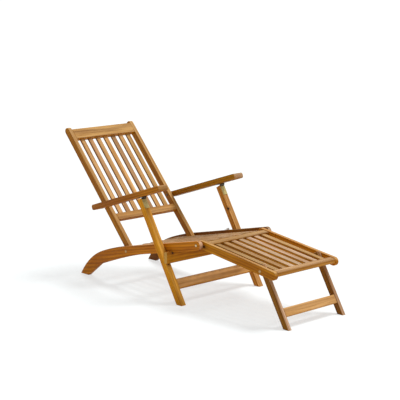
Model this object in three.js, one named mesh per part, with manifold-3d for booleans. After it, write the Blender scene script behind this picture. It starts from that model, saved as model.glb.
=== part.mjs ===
// A folding wooden steamer deck chair with a hinged footrest.
// Millimetres. X runs across the chair, +Y to the rear and +Z up, with the floor at zero.
// The side view is set out from the back pivot, and the whole chair is centred at the end.

import * as THREE from 'three';
import { mergeVertices } from 'three/addons/utils/BufferGeometryUtils.js';
import Module from 'manifold-3d';

const wasm = await Module();
wasm.setup();

const rad = THREE.MathUtils.degToRad;

// Driving dimensions
// Widths across the chair, from the middle outwards
const backClearWidth = 425; // between the back's stiles
const stileWidth = 24;
const stileGap = 1.5; // from a stile to the seat rail beside it
const railWidth = 22;
const legGap = 6; // from a seat rail to the front leg beside it
const legWidth = 34;
const armWidth = 66;
const armOverhang = 5; // of an arm past the outer face of its leg
const footrestGap = 10; // from a seat rail in to the footrest rail
const footrestRailWidth = 20;
const smallLegGap = 0.5;
const smallLegWidth = 23;

// Seat rails, in side view
const backPivotHeight = 196;
const seatTilt = rad(12.4);
const railTopRise = 28.7; // from the back pivot up to the rail's top edge
const railDepth = 48;
const railNoseReach = 569; // from the back pivot forward to the centre of the rounded nose
const railUndersideTilt = rad(12.6); // of the lower edge, from the nose to the belly
const railBellyReach = 150; // where the lower edge starts to curve down to the heel
const railBellyTilt = rad(20.3);
const railBowStart = 20; // behind the back pivot, where the top edge starts to bow down gently
const railBowRadius = 1300;
const railHaunchStart = 210; // behind the back pivot, where the bow tightens down to the foot
const railHaunchRadius = 400;
const railHeelReach = 227;
const railHeelHeight = 85;
const railFootLength = 67;

// Seat deck, along the rails' top edge
const seatSlatDrop = 12; // from the rails' top edge down to the slats
const seatFrontLap = 18; // of the slats' front ends past the centre of the rails' nose
const seatRearReach = 86;
const battenWidth = 36;
const battenThickness = 20;
const frontBattenInset = 51; // from the slats' front ends to the middle of the first batten
const middleBattenReach = 250; // from the back pivot forward
const rearBattenInset = 24;

// Slats of the seat and the back
const slatWidth = 29;
const seatSlatSideGap = 27; // from the outer slats to the line of the back's stiles
const backSlatSideGap = 33; // from the outer slats to the back's stiles
const slatCount = 7;
const slatThickness = 11;

// Back, along the stiles from the back pivot
const backRecline = rad(42.3); // from upright
const stileDepth = 38;
const topRailReach = 807;
const stileHorn = 21; // of a stile past the top rail
const stileTail = 22;
const topRailHeight = 64;
const bottomRailReach = 191;
const bottomRailHeight = 38;
const backRailThickness = 28;
const backSlatRecess = 13;

// Arms
const armPivotReach = 301.8; // along the stile from the back pivot
const armTilt = rad(18.1);
const armFrontReach = 557;
const armRearReach = 36;
const armThickness = 31;
const armCornerRadius = 12; // in plan
const armEndRadius = 9; // in side view

// Front legs
const legLean = rad(31.2); // from upright
const legFootReach = 476.7; // from the back pivot forward to the middle of the foot
const legDepth = 33;
const legTopDrop = 1.5; // from the level of the hinge pin down to the sawn top of the leg
const stretcherHeight = 84; // along the leg
const stretcherDepth = 54;
const stretcherThickness = 24;
const stretcherRound = 6;
const crossbarReach = 374; // from the back pivot forward to the middle of the board
const crossbarThickness = 22;
const crossbarBottom = 203;

// Footrest, along its rails from the footrest pivot
const footrestPivotSetback = 5; // from the centre of the seat rails' nose
const footrestPivotDrop = 23.8; // below the seat rail's top edge
const footrestTilt = rad(7.6);
const footrestRailDepth = 44;
const footrestSlatWidth = 32;
const footrestSlatSideGap = 27; // from the outer slats to the footrest rails
const footrestCrossDrop = 3; // from the top edge of the footrest rails down to the cross rails
const footrestSlatRecess = 6; // from the top of the cross rails down to the slats
const innerCrossReach = 16;
const innerCrossWidth = 42;
const innerCrossThickness = 26;
const outerCrossReach = 529;
const outerCrossLap = 17; // of the outer cross rail past the centre of the rails' rounded ends
const outerCrossWidth = 38;
const outerCrossHeight = 23;

// Footrest legs, from their pivot
const smallLegPivotSetback = 101; // from the far face of the outer cross rail
const smallLegPivotDrop = 4;
const smallLegLean = rad(31);
const smallLegDepth = 31;
const smallLegTop = 38;
const smallStretcherHeight = 60.5; // along the leg from the floor
const smallStretcherDepth = 44;
const smallStretcherThickness = 22;

// Joinery and edges
const fit = 0.3; // between pieces that seat on each other
const edge = 2; // radius of an eased arris
const slatEdge = 2.5;
const tenonLength = 14;
const tenonShoulder = 6;
const slatTenon = 8;
const overrun = 5; // of a cut past the face that it opens

// Bolts
const boltRadius = 4;
const boltHeadRadius = 6.3;
const boltHeadHeight = 3.5;
const boltNutRadius = 6.3;
const boltNutHeight = 5;
const armBoltGrip = 44; // inside the arm

// Hinges between the arms and the front legs
const hingeWidth = 30;
const hingeKnuckleRadius = 4.5;
const hingePinRadius = 2;
const hingeLeafThickness = 2;
const legLeafLength = 60;
const armLeafLength = 40;

// Keepers on top of the seat rails, behind the front legs
const keeperReach = 268; // from the back pivot forward to the middle of the keeper
const keeperLength = 20;
const keeperWidth = 20;
const keeperHeight = 9.5;
const keeperThickness = 2.5;
const keeperOverhang = 2.5;

// Smoothness of curves
const arcStep = rad(15);
const curveSteps = 8;
const roundSides = 16;
const edgeSteps = 2;
const closeDistance = 0.001; // outline points nearer than this are one

// Derived layout across the chair
const stileX = (backClearWidth + stileWidth) / 2;
const railInner = backClearWidth / 2 + stileWidth + stileGap;
const railX = railInner + railWidth / 2;
const legInner = railInner + railWidth + legGap;
const legX = legInner + legWidth / 2;
const frameWidth = 2 * (legInner + legWidth);
const armX = (frameWidth - armWidth) / 2 + armOverhang;
const footrestRailInner = railInner - footrestGap - footrestRailWidth;
const footrestRailX = footrestRailInner + footrestRailWidth / 2;
const smallLegInner = footrestRailInner - smallLegGap - smallLegWidth;
const smallLegX = smallLegInner + smallLegWidth / 2;
const slatPitchFor = (sideGap) => (backClearWidth - slatWidth - 2 * sideGap) / (slatCount - 1);
const seatSlatPitch = slatPitchFor(seatSlatSideGap);
const backSlatPitch = slatPitchFor(backSlatSideGap);
const footrestSlatSpread = 2 * (footrestRailInner - footrestSlatSideGap) - footrestSlatWidth;
const footrestSlatPitch = footrestSlatSpread / (slatCount - 1);
const SIDES = [['left', -1], ['right', 1]];

// Derived layout in side view
const railTop = (y) => backPivotHeight + railTopRise - y * Math.tan(seatTilt);
const railNose = new THREE.Vector2(
  -railNoseReach,
  railTop(-railNoseReach) - railDepth / 2 / Math.cos(seatTilt),
);
const railLower = (y) => railNose.y
  - (y - railNose.x) * Math.tan(railUndersideTilt)
  - railDepth / 2 / Math.cos(railUndersideTilt);
const footrestPivotReach = railNoseReach - footrestPivotSetback;
const footrestPivot = new THREE.Vector2(
  -footrestPivotReach,
  railTop(-footrestPivotReach) - footrestPivotDrop,
);

// Materials
const wood = (color, roughness) => new THREE.MeshStandardMaterial({ color, roughness, metalness: 0 });
const teak = () => wood(0xb9763f, 0.6);
const paleTeak = () => wood(0xc9935f, 0.62);
const darkTeak = () => wood(0x8d5429, 0.6);
const slatTeak = () => wood(0xc08a63, 0.62);
const brass = () => new THREE.MeshStandardMaterial({ color: 0xc8b06a, roughness: 0.35, metalness: 0.9 });
const steel = () => new THREE.MeshStandardMaterial({ color: 0xb9bab6, roughness: 0.4, metalness: 0.9 });

// Outlines
const point = (y, z) => new THREE.Vector2(y, z);

// Points of one corner: the corner itself, or an arc of the given radius across it.
function cornerPoints(before, corner, after) {
  if (!corner.radius) return [corner.at];
  const incoming = corner.at.clone().sub(before.at).normalize();
  const outgoing = after.at.clone().sub(corner.at).normalize();
  const turn = Math.atan2(incoming.cross(outgoing), incoming.dot(outgoing));
  const start = corner.at.clone().addScaledVector(incoming, -corner.radius * Math.tan(Math.abs(turn) / 2));
  const inward = point(-incoming.y, incoming.x).multiplyScalar(Math.sign(turn) * corner.radius);
  const centre = start.clone().add(inward);
  const steps = Math.max(1, Math.ceil(Math.abs(turn) / arcStep));
  return Array.from({ length: steps + 1 }, (_, i) => start.clone().rotateAround(centre, (turn * i) / steps));
}

// A closed outline through corners given as [y, z, radius].
function outline(corners) {
  const list = corners.map(([y, z, radius = 0]) => ({ at: point(y, z), radius }));
  const points = list.flatMap((corner, i) => cornerPoints(list.at(i - 1), corner, list[(i + 1) % list.length]));
  return new THREE.Shape(points.filter((p, i) => p.distanceTo(points.at(i - 1)) > closeDistance));
}

// A rectangular section with the same radius on all corners.
function block({ front, back, bottom, top }, radius = 0) {
  return outline([[front, bottom, radius], [back, bottom, radius], [back, top, radius], [front, top, radius]]);
}

const shrunk = ({ front, back, bottom, top }, margin) => ({
  front: front + margin,
  back: back - margin,
  bottom: bottom + margin,
  top: top - margin,
});

function roundHole(y, z, radius) {
  const hole = new THREE.Path();
  hole.absarc(y, z, radius, 0, 2 * Math.PI, false);
  return hole;
}

function withBoltHoles(shape, places) {
  places.forEach(([y, z]) => shape.holes.push(roundHole(y, z, boltRadius + fit)));
  return shape;
}

// Solids
const acrossView = new THREE.Matrix4().makeBasis(
  new THREE.Vector3(0, 1, 0),
  new THREE.Vector3(0, 0, 1),
  new THREE.Vector3(1, 0, 0),
);

// An extrusion centred on its depth, with its arrises rounded by the given radius.
function extruded(shape, depth, round) {
  const geometry = new THREE.ExtrudeGeometry(shape, {
    depth: depth - 2 * round,
    curveSegments: curveSteps,
    bevelEnabled: round > 0,
    bevelThickness: round,
    bevelSize: round,
    bevelOffset: -round,
    bevelSegments: edgeSteps,
  });
  return geometry.translate(0, 0, round - depth / 2);
}

// A board with its outline in side view and its width across the chair.
const board = (shape, width, round = 0) => extruded(shape, width, round).applyMatrix4(acrossView);

function toSolid(geometry) {
  const bare = geometry.clone();
  bare.deleteAttribute('normal');
  bare.deleteAttribute('uv');
  const merged = mergeVertices(bare);
  return new wasm.Manifold(new wasm.Mesh({
    numProp: 3,
    vertProperties: merged.attributes.position.array,
    triVerts: merged.index.array,
  }));
}

function toGeometry(solid) {
  const mesh = solid.getMesh();
  const geometry = new THREE.BufferGeometry();
  geometry.setAttribute('position', new THREE.BufferAttribute(mesh.vertProperties, 3));
  geometry.setIndex(new THREE.BufferAttribute(mesh.triVerts, 1));
  geometry.computeVertexNormals();
  return geometry;
}

const joined = (geometries) => toGeometry(geometries.map(toSolid).reduce((a, b) => a.add(b)));

// The solid that two geometries have in common.
const shared = (one, other) => toGeometry(toSolid(one).intersect(toSolid(other)));

// A piece whose own origin lies at x, cut by solids given in its group's frame.
function carved(geometry, cutters, x = 0) {
  const cuts = cutters.map((cutter) => toSolid(cutter.clone().translate(-x, 0, 0)));
  return toGeometry(cuts.reduce((body, cut) => body.subtract(cut), toSolid(geometry)));
}

// A cross piece between two side boards, with a tenon on each end.
function crossPiece(section, span, round = edge, corner = 0) {
  return joined([
    board(block(section, corner), span - 2 * fit, round),
    board(block(shrunk(section, tenonShoulder)), span + 2 * tenonLength),
  ]);
}

// The mortises that take both tenons of a cross piece.
const mortises = (section, span) => board(
  block(shrunk(section, tenonShoulder - fit)),
  span + 2 * (tenonLength + fit),
);

function named(name, geometry, material, x = 0) {
  const mesh = new THREE.Mesh(geometry, material);
  mesh.name = name;
  mesh.position.x = x;
  return mesh;
}

const spread = (count, pitch) => Array.from({ length: count }, (_, i) => (i - (count - 1) / 2) * pitch);

// A bolt along X with a domed head on its positive end. The shank starts at zero.
function boltGeometry(grip, collar, endHeight, endRadius) {
  const dome = (t) => [boltHeadRadius * Math.cos(t), grip + boltHeadHeight * Math.sin(t)];
  const domeSteps = Math.round(Math.PI / 2 / arcStep);
  const profile = [
    [0, -endHeight],
    ...(endHeight > 0 ? [[endRadius, -endHeight], [endRadius, 0]] : []),
    [boltRadius, 0],
    ...collar,
    [boltRadius, grip],
    ...Array.from({ length: domeSteps }, (_, i) => dome((i * Math.PI) / 2 / domeSteps)),
    [0, grip + boltHeadHeight],
  ].map(([radius, along]) => new THREE.Vector2(radius, along));
  const geometry = new THREE.LatheGeometry(profile, roundSides);
  return geometry.rotateZ(-Math.PI / 2);
}

// A bolt whose head points away from the chair on the given side.
function bolt(name, side, { inner, outer, collar = [], endHeight = boltNutHeight, material = steel() }) {
  const geometry = boltGeometry(outer - inner, collar, endHeight, boltNutRadius);
  const mesh = named(name, geometry, material, side * inner);
  mesh.rotation.y = side > 0 ? 0 : Math.PI;
  return mesh;
}

// Seat rails
function railOutline() {
  const topAngle = Math.PI / 2 - seatTilt;
  const lowerAngle = -Math.PI / 2 - railUndersideTilt;
  const bowCentre = point(railBowStart, railTop(railBowStart))
    .sub(point(Math.sin(seatTilt), Math.cos(seatTilt)).multiplyScalar(railBowRadius));
  const haunchAngle = Math.acos((railHaunchStart - bowCentre.x) / railBowRadius);
  const haunchCentre = point(Math.cos(haunchAngle), Math.sin(haunchAngle))
    .multiplyScalar(railBowRadius - railHaunchRadius)
    .add(bowCentre);
  const floorAngle = Math.asin(-haunchCentre.y / railHaunchRadius);
  const footRear = haunchCentre.x + railHaunchRadius * Math.cos(floorAngle);
  const heelRise = Math.tan(railBellyTilt);
  const bellyRise = heelRise - Math.tan(railUndersideTilt);
  const bellyY = (railHeelHeight + heelRise * railHeelReach - railLower(0)) / bellyRise;
  const shape = new THREE.Shape();
  shape.absarc(railNose.x, railNose.y, railDepth / 2, lowerAngle, topAngle, true);
  shape.absarc(bowCentre.x, bowCentre.y, railBowRadius, topAngle, haunchAngle, true);
  shape.absarc(haunchCentre.x, haunchCentre.y, railHaunchRadius, haunchAngle, floorAngle, true);
  shape.lineTo(footRear - railFootLength, 0);
  shape.lineTo(railHeelReach, railHeelHeight);
  shape.quadraticCurveTo(bellyY, railLower(bellyY), -railBellyReach, railLower(-railBellyReach));
  return withBoltHoles(shape, [[0, backPivotHeight], footrestPivot.toArray()]);
}

const deckSlatTop = railTopRise * Math.cos(seatTilt) - seatSlatDrop;
const seatFrontReach = railNoseReach + seatFrontLap;
const battenReaches = [seatFrontReach - frontBattenInset, middleBattenReach, rearBattenInset - seatRearReach];
const battenSection = (reach) => {
  const top = deckSlatTop - slatThickness - fit;
  return {
    front: -reach - battenWidth / 2, back: -reach + battenWidth / 2, bottom: top - battenThickness, top,
  };
};

function turnedAboutBackPivot(geometry) {
  return geometry.rotateX(-seatTilt).translate(0, 0, backPivotHeight);
}

function seatRails() {
  const pockets = battenReaches.map((reach) => turnedAboutBackPivot(mortises(battenSection(reach), 2 * railInner)));
  return SIDES.map(([sideName, side]) => {
    const plain = board(railOutline(), railWidth, edge);
    return named(`seat_rail_${sideName}`, carved(plain, pockets, side * railX), teak(), side * railX);
  });
}

// Seat deck: slats on three battens
function seatDeck() {
  const deck = new THREE.Group();
  deck.position.z = backPivotHeight;
  deck.rotation.x = -seatTilt;
  battenReaches.forEach((reach, i) => {
    deck.add(named(`seat_batten_${i + 1}`, crossPiece(battenSection(reach), 2 * railInner), darkTeak()));
  });
  const section = {
    front: -seatFrontReach, back: seatRearReach, bottom: deckSlatTop - slatThickness, top: deckSlatTop,
  };
  spread(slatCount, seatSlatPitch).forEach((x, i) => {
    deck.add(named(`seat_slat_${i + 1}`, board(block(section), slatWidth, slatEdge), slatTeak(), x));
  });
  SIDES.forEach(([sideName, side]) => deck.add(keeper(sideName, side)));
  return deck;
}

// A small angle plate on the top edge of a seat rail, with its upright on the outer side.
function keeper(sideName, side) {
  const right = keeperOverhang + railWidth / 2;
  const left = right - keeperWidth;
  const shape = outline([
    [left, 0],
    [right, 0],
    [right, keeperHeight, keeperThickness / 2],
    [right - keeperThickness, keeperHeight, keeperThickness / 2],
    [right - keeperThickness, keeperThickness, keeperThickness],
    [left, keeperThickness],
  ]);
  const geometry = extruded(shape, keeperLength, 0).rotateX(Math.PI / 2);
  const mesh = named(`rail_keeper_${sideName}`, geometry, brass(), side * railX);
  mesh.position.y = -keeperReach;
  mesh.position.z = railTopRise * Math.cos(seatTilt) + fit;
  mesh.rotation.z = side > 0 ? 0 : Math.PI;
  return mesh;
}

// Back: two stiles, two rails and slats let into the rails
const backFront = -stileDepth / 2;
const stileReach = topRailReach + stileHorn;
const topRailSection = {
  front: backFront, back: backFront + backRailThickness, bottom: topRailReach - topRailHeight, top: topRailReach,
};
const bottomRailSection = {
  front: backFront, back: backFront + backRailThickness,
  bottom: bottomRailReach, top: bottomRailReach + bottomRailHeight,
};
const backSlatSection = {
  front: backFront + backSlatRecess, back: backFront + backSlatRecess + slatThickness,
  bottom: bottomRailSection.top - slatTenon, top: topRailSection.bottom + slatTenon,
};

function slatPockets(section, width, count, pitch) {
  const pocket = board(block(shrunk(section, -fit)), width + 2 * fit);
  return spread(count, pitch).map((x) => pocket.clone().translate(x, 0, 0));
}

function stile(sideName, side) {
  const half = stileDepth / 2;
  const shape = withBoltHoles(
    outline([[-half, -stileTail, half], [half, -stileTail, half], [half, stileReach, half], [-half, stileReach, half]]),
    [[0, 0], [0, armPivotReach]],
  );
  const cutters = [topRailSection, bottomRailSection].map((section) => mortises(section, backClearWidth));
  const geometry = carved(board(shape, stileWidth, edge), cutters, side * stileX);
  return named(`back_stile_${sideName}`, geometry, teak(), side * stileX);
}

function backFrame() {
  const back = new THREE.Group();
  back.position.z = backPivotHeight;
  back.rotation.x = -backRecline;
  SIDES.forEach(([sideName, side]) => {
    back.add(stile(sideName, side));
    back.add(armBolt(sideName, side));
  });
  const pockets = slatPockets(backSlatSection, slatWidth, slatCount, backSlatPitch);
  [['back_top_rail', topRailSection], ['back_bottom_rail', bottomRailSection]].forEach(([name, section]) => {
    back.add(named(name, carved(crossPiece(section, backClearWidth), pockets), paleTeak()));
  });
  spread(slatCount, backSlatPitch).forEach((x, i) => {
    back.add(named(`back_slat_${i + 1}`, board(block(backSlatSection), slatWidth, slatEdge), slatTeak(), x));
  });
  return back;
}

// Arms, in plan outline, turned on bolts through the stiles
const armInner = armX - armWidth / 2;

function armBolt(sideName, side) {
  const mesh = bolt(`arm_bolt_${sideName}`, -side, {
    inner: -(armInner + armBoltGrip), outer: -(backClearWidth / 2 - fit), endHeight: 0,
  });
  mesh.position.z = armPivotReach;
  return mesh;
}

function armBody(side) {
  const plan = outline([
    [-armWidth / 2, -armFrontReach, armCornerRadius],
    [armWidth / 2, -armFrontReach, armCornerRadius],
    [armWidth / 2, armRearReach, armCornerRadius],
    [-armWidth / 2, armRearReach, armCornerRadius],
  ]);
  const hole = new THREE.CylinderGeometry(boltRadius + fit, boltRadius + fit, armBoltGrip + fit + overrun, roundSides)
    .rotateZ(Math.PI / 2)
    .translate(side * (armInner - armX + (armBoltGrip + fit - overrun) / 2), 0, 0);
  const halfThickness = armThickness / 2;
  const profile = block({
    front: -armFrontReach, back: armRearReach, bottom: -halfThickness, top: halfThickness,
  }, armEndRadius);
  const rounded = shared(extruded(plan, armThickness, edge), board(profile, armWidth + 2 * overrun));
  return carved(rounded, [hole]);
}

// Places in side view that the arms and the legs share
const armPivot = point(0, armPivotReach).rotateAround(point(0, 0), -backRecline).add(point(0, backPivotHeight));
const alongArm = point(Math.cos(armTilt), -Math.sin(armTilt));
const legUp = point(Math.sin(legLean), Math.cos(legLean));
const legFoot = point(-legFootReach, 0);
const pinOffset = hingeKnuckleRadius + fit;

// The hinge pin lies a knuckle's radius below the arm and in front of the leg.
function hingePlace() {
  const armNormal = point(-alongArm.y, alongArm.x);
  const legNormal = point(-legUp.y, legUp.x);
  const onArm = armPivot.clone().addScaledVector(armNormal, -armThickness / 2 - pinOffset);
  const onLeg = legFoot.clone().addScaledVector(legNormal, legDepth / 2 + pinOffset);
  const travel = onArm.clone().sub(onLeg).cross(alongArm) / legUp.cross(alongArm);
  return onLeg.clone().addScaledVector(legUp, travel);
}
const hingePin = hingePlace();

function arms() {
  return SIDES.map(([sideName, side]) => {
    const arm = new THREE.Group();
    arm.position.set(0, armPivot.x, armPivot.y);
    arm.rotation.x = -armTilt;
    arm.add(named(`arm_${sideName}`, armBody(side), paleTeak(), side * armX));
    arm.add(hingeArmLeaf(sideName, side));
    arm.add(hingePinMesh(sideName, side));
    return arm;
  });
}

// Hinges with three knuckles: the outer two belong to the leg and the middle one to the arm
const knuckleWidth = hingeWidth / 3;

function knuckle(width, x) {
  const shape = new THREE.Shape();
  shape.absarc(0, 0, hingeKnuckleRadius, 0, 2 * Math.PI, false);
  shape.holes.push(roundHole(0, 0, hingePinRadius + fit));
  return board(shape, width).translate(x, 0, 0);
}

// A leaf that starts at the pin and runs away from it, with its back a knuckle's radius off the pin.
function hingeLeaf(leafLength, knuckleXs, gapXs) {
  const plate = board(block({
    front: hingeKnuckleRadius - hingeLeafThickness, back: hingeKnuckleRadius, bottom: -leafLength, top: 0,
  }), hingeWidth);
  const cutter = board(block({
    front: -2 * hingeKnuckleRadius, back: 2 * hingeKnuckleRadius,
    bottom: -hingeKnuckleRadius - fit, top: 2 * hingeKnuckleRadius,
  }), knuckleWidth + fit);
  const bore = board(new THREE.Shape(roundHole(0, 0, hingePinRadius + fit).getPoints(curveSteps)), 2 * hingeWidth);
  const body = joined([plate, ...knuckleXs.map((x) => knuckle(knuckleWidth - fit, x))]);
  return carved(body, [bore, ...gapXs.map((x) => cutter.clone().translate(x, 0, 0))]);
}

function hingeArmLeaf(sideName, side) {
  const leaf = hingeLeaf(armLeafLength, [0], [-knuckleWidth, knuckleWidth]);
  const mesh = named(`hinge_arm_leaf_${sideName}`, leaf, brass(), side * legX);
  const local = hingePin.clone().sub(armPivot).rotateAround(point(0, 0), armTilt);
  mesh.position.y = local.x;
  mesh.position.z = local.y;
  mesh.rotation.x = Math.PI / 2;
  return mesh;
}

function hingePinMesh(sideName, side) {
  const geometry = new THREE.CylinderGeometry(hingePinRadius, hingePinRadius, hingeWidth, roundSides);
  const mesh = named(`hinge_pin_${sideName}`, geometry.rotateZ(Math.PI / 2), brass(), side * legX);
  const local = hingePin.clone().sub(armPivot).rotateAround(point(0, 0), armTilt);
  mesh.position.y = local.x;
  mesh.position.z = local.y;
  return mesh;
}

// Front leg frame: legs, a stretcher low down and the crossbar that carries the seat rails
const legFront = -legDepth / 2;
const legSpan = 2 * legInner;
const stretcherSection = {
  front: legFront, back: legFront + stretcherThickness,
  bottom: stretcherHeight, top: stretcherHeight + stretcherDepth,
};
const crossbarPlace = point(-crossbarReach, crossbarBottom);
const intoLeg = (place) => place.clone().sub(legFoot).rotateAround(point(0, 0), legLean);

// The board's top has the slope of the seat rails' lower edges, so the rails lie flat on it.
function crossbarOutline(play = 0) {
  const front = -crossbarThickness / 2 - play;
  const back = crossbarThickness / 2 + play;
  const topAt = (y) => railLower(crossbarPlace.x + y) - crossbarPlace.y - fit + play;
  return outline([[front, -play], [back, -play], [back, topAt(back)], [front, topAt(front)]]);
}

function intoLegFrame(geometry) {
  const local = intoLeg(crossbarPlace);
  return geometry.rotateX(legLean).translate(0, local.x, local.y);
}

function frontLeg(sideName, side) {
  const half = legDepth / 2;
  const footSlope = Math.tan(legLean);
  const top = intoLeg(hingePin).y - legTopDrop;
  const shape = outline([[-half, -half * footSlope], [half, half * footSlope], [half, top], [-half, top]]);
  const housing = intoLegFrame(board(crossbarOutline(fit), frameWidth + 2 * overrun));
  const cutters = [mortises(stretcherSection, legSpan), housing];
  const geometry = carved(board(shape, legWidth, edge), cutters, side * legX);
  return named(`front_leg_${sideName}`, geometry, darkTeak(), side * legX);
}

function crossbar() {
  const mesh = named('seat_crossbar', board(crossbarOutline(), frameWidth, edge), teak());
  const local = intoLeg(crossbarPlace);
  mesh.position.set(0, local.x, local.y);
  mesh.rotation.x = legLean;
  return mesh;
}

function legLeaf(sideName, side) {
  const xs = [-knuckleWidth, knuckleWidth];
  const mesh = named(`hinge_leg_leaf_${sideName}`, hingeLeaf(legLeafLength, xs, [0]), brass(), side * legX);
  const local = intoLeg(hingePin);
  mesh.position.y = local.x;
  mesh.position.z = local.y;
  return mesh;
}

function frontLegFrame() {
  const frame = new THREE.Group();
  frame.position.set(0, legFoot.x, legFoot.y);
  frame.rotation.x = -legLean;
  SIDES.forEach(([sideName, side]) => frame.add(frontLeg(sideName, side), legLeaf(sideName, side)));
  frame.add(named('leg_stretcher', crossPiece(stretcherSection, legSpan, edge, stretcherRound), paleTeak()));
  frame.add(crossbar());
  return frame;
}

// Footrest: two rails, two cross rails and slats let into them
const footrestReach = outerCrossReach - outerCrossLap;
const smallLegPivotReach = outerCrossReach - smallLegPivotSetback;
const footrestCrossTop = footrestRailDepth / 2 - footrestCrossDrop;
const footrestSlatTop = footrestCrossTop - footrestSlatRecess;
const footrestSpan = 2 * footrestRailInner;
const innerCrossSection = {
  front: -innerCrossReach - innerCrossWidth, back: -innerCrossReach,
  bottom: footrestCrossTop - innerCrossThickness, top: footrestCrossTop,
};
const outerCrossSection = {
  front: -outerCrossReach, back: -outerCrossReach + outerCrossWidth,
  bottom: footrestCrossTop - outerCrossHeight, top: footrestCrossTop,
};
const footrestSlatSection = {
  front: outerCrossSection.back - slatTenon, back: innerCrossSection.front + slatTenon,
  bottom: footrestSlatTop - slatThickness, top: footrestSlatTop,
};

function footrestRail(sideName, side) {
  const half = footrestRailDepth / 2;
  const shape = withBoltHoles(
    outline([[half, -half, half], [half, half, half], [-footrestReach - half, half, half],
      [-footrestReach - half, -half, half]]),
    [[0, 0], [-smallLegPivotReach, -smallLegPivotDrop]],
  );
  const cutters = [innerCrossSection, outerCrossSection].map((section) => mortises(section, footrestSpan));
  const geometry = carved(board(shape, footrestRailWidth, edge), cutters, side * footrestRailX);
  return named(`footrest_rail_${sideName}`, geometry, darkTeak(), side * footrestRailX);
}

function footrestFrame() {
  const footrest = new THREE.Group();
  footrest.position.set(0, footrestPivot.x, footrestPivot.y);
  footrest.rotation.x = footrestTilt;
  SIDES.forEach(([sideName, side]) => footrest.add(footrestRail(sideName, side), smallLegBolt(sideName, side)));
  const pockets = slatPockets(footrestSlatSection, footrestSlatWidth, slatCount, footrestSlatPitch);
  const innerRail = crossPiece(innerCrossSection, footrestSpan, edge, 2 * edge);
  const outerRail = crossPiece(outerCrossSection, footrestSpan, edge, 2 * edge);
  footrest.add(named('footrest_inner_rail', carved(innerRail, pockets), teak()));
  footrest.add(named('footrest_outer_rail', carved(outerRail, pockets), teak()));
  spread(slatCount, footrestSlatPitch).forEach((x, i) => {
    const slat = board(block(footrestSlatSection), footrestSlatWidth, slatEdge);
    footrest.add(named(`footrest_slat_${i + 1}`, slat, slatTeak(), x));
  });
  return footrest;
}

// Footrest legs, turned on bolts in the footrest rails
const smallLegPivot = point(-smallLegPivotReach, -smallLegPivotDrop)
  .rotateAround(point(0, 0), footrestTilt)
  .add(footrestPivot);
const smallLegLength = smallLegPivot.y / Math.cos(smallLegLean);

function smallLegBolt(sideName, side) {
  const mesh = bolt(`footrest_leg_bolt_${sideName}`, side, {
    inner: smallLegInner - fit, outer: footrestRailInner + footrestRailWidth + fit,
  });
  mesh.position.y = -smallLegPivotReach;
  mesh.position.z = -smallLegPivotDrop;
  return mesh;
}

const smallStretcherSection = {
  front: -smallLegDepth / 2, back: -smallLegDepth / 2 + smallStretcherThickness,
  bottom: smallStretcherHeight - smallLegLength,
  top: smallStretcherHeight - smallLegLength + smallStretcherDepth,
};

function smallLeg(sideName, side) {
  const half = smallLegDepth / 2;
  const floorAt = (y) => y * Math.tan(smallLegLean) - smallLegLength;
  const shape = withBoltHoles(
    outline([[-half, floorAt(-half)], [half, floorAt(half)], [half, smallLegTop, half], [-half, smallLegTop, 2 * edge]]),
    [[0, 0]],
  );
  const cutter = mortises(smallStretcherSection, 2 * smallLegInner);
  const geometry = carved(board(shape, smallLegWidth, edge), [cutter], side * smallLegX);
  return named(`footrest_leg_${sideName}`, geometry, darkTeak(), side * smallLegX);
}

function smallLegFrame() {
  const frame = new THREE.Group();
  frame.position.set(0, smallLegPivot.x, smallLegPivot.y);
  frame.rotation.x = -smallLegLean;
  SIDES.forEach(([sideName, side]) => frame.add(smallLeg(sideName, side)));
  frame.add(named('footrest_leg_stretcher', crossPiece(smallStretcherSection, 2 * smallLegInner), paleTeak()));
  return frame;
}

// Bolts in the seat rails
function seatBolts() {
  const outer = railInner + railWidth + fit;
  const spacer = [
    [boltRadius, footrestRailWidth + 2 * fit],
    [boltHeadRadius, footrestRailWidth + 2 * fit],
    [boltHeadRadius, footrestRailWidth + footrestGap],
    [boltRadius, footrestRailWidth + footrestGap],
  ];
  return SIDES.flatMap(([sideName, side]) => {
    const backBolt = bolt(`back_bolt_${sideName}`, side, { inner: backClearWidth / 2 - fit, outer });
    backBolt.position.z = backPivotHeight;
    const footrestBolt = bolt(`footrest_bolt_${sideName}`, side, {
      inner: footrestRailInner - fit, outer, collar: spacer,
    });
    footrestBolt.position.y = footrestPivot.x;
    footrestBolt.position.z = footrestPivot.y;
    return [backBolt, footrestBolt];
  });
}

// The whole chair, centred over the floor
const chair = new THREE.Group();
chair.name = 'steamer_deck_chair';
chair.add(...seatRails(), ...seatBolts(), seatDeck(), backFrame(), ...arms());
chair.add(frontLegFrame(), footrestFrame(), smallLegFrame());
const extent = new THREE.Box3().setFromObject(chair, true);
chair.position.y = -(extent.min.y + extent.max.y) / 2;

export default chair;
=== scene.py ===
"""Looks of a folding wooden steamer deck chair: finishes, small hardware, floor, light and camera.

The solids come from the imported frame. This script gives every board its own grain and tone, finishes the
boards whose form is finer than their solids, adds the washers, drive sockets and screws of the hardware, and
sets the picture's floor, light and camera. Lengths are in metres, and colours are linear red, green and blue.
"""

import logging
import math
from dataclasses import dataclass, field
from enum import Enum
from typing import Callable, Union

import bmesh
import bpy
from mathutils import Matrix, Vector


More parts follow.
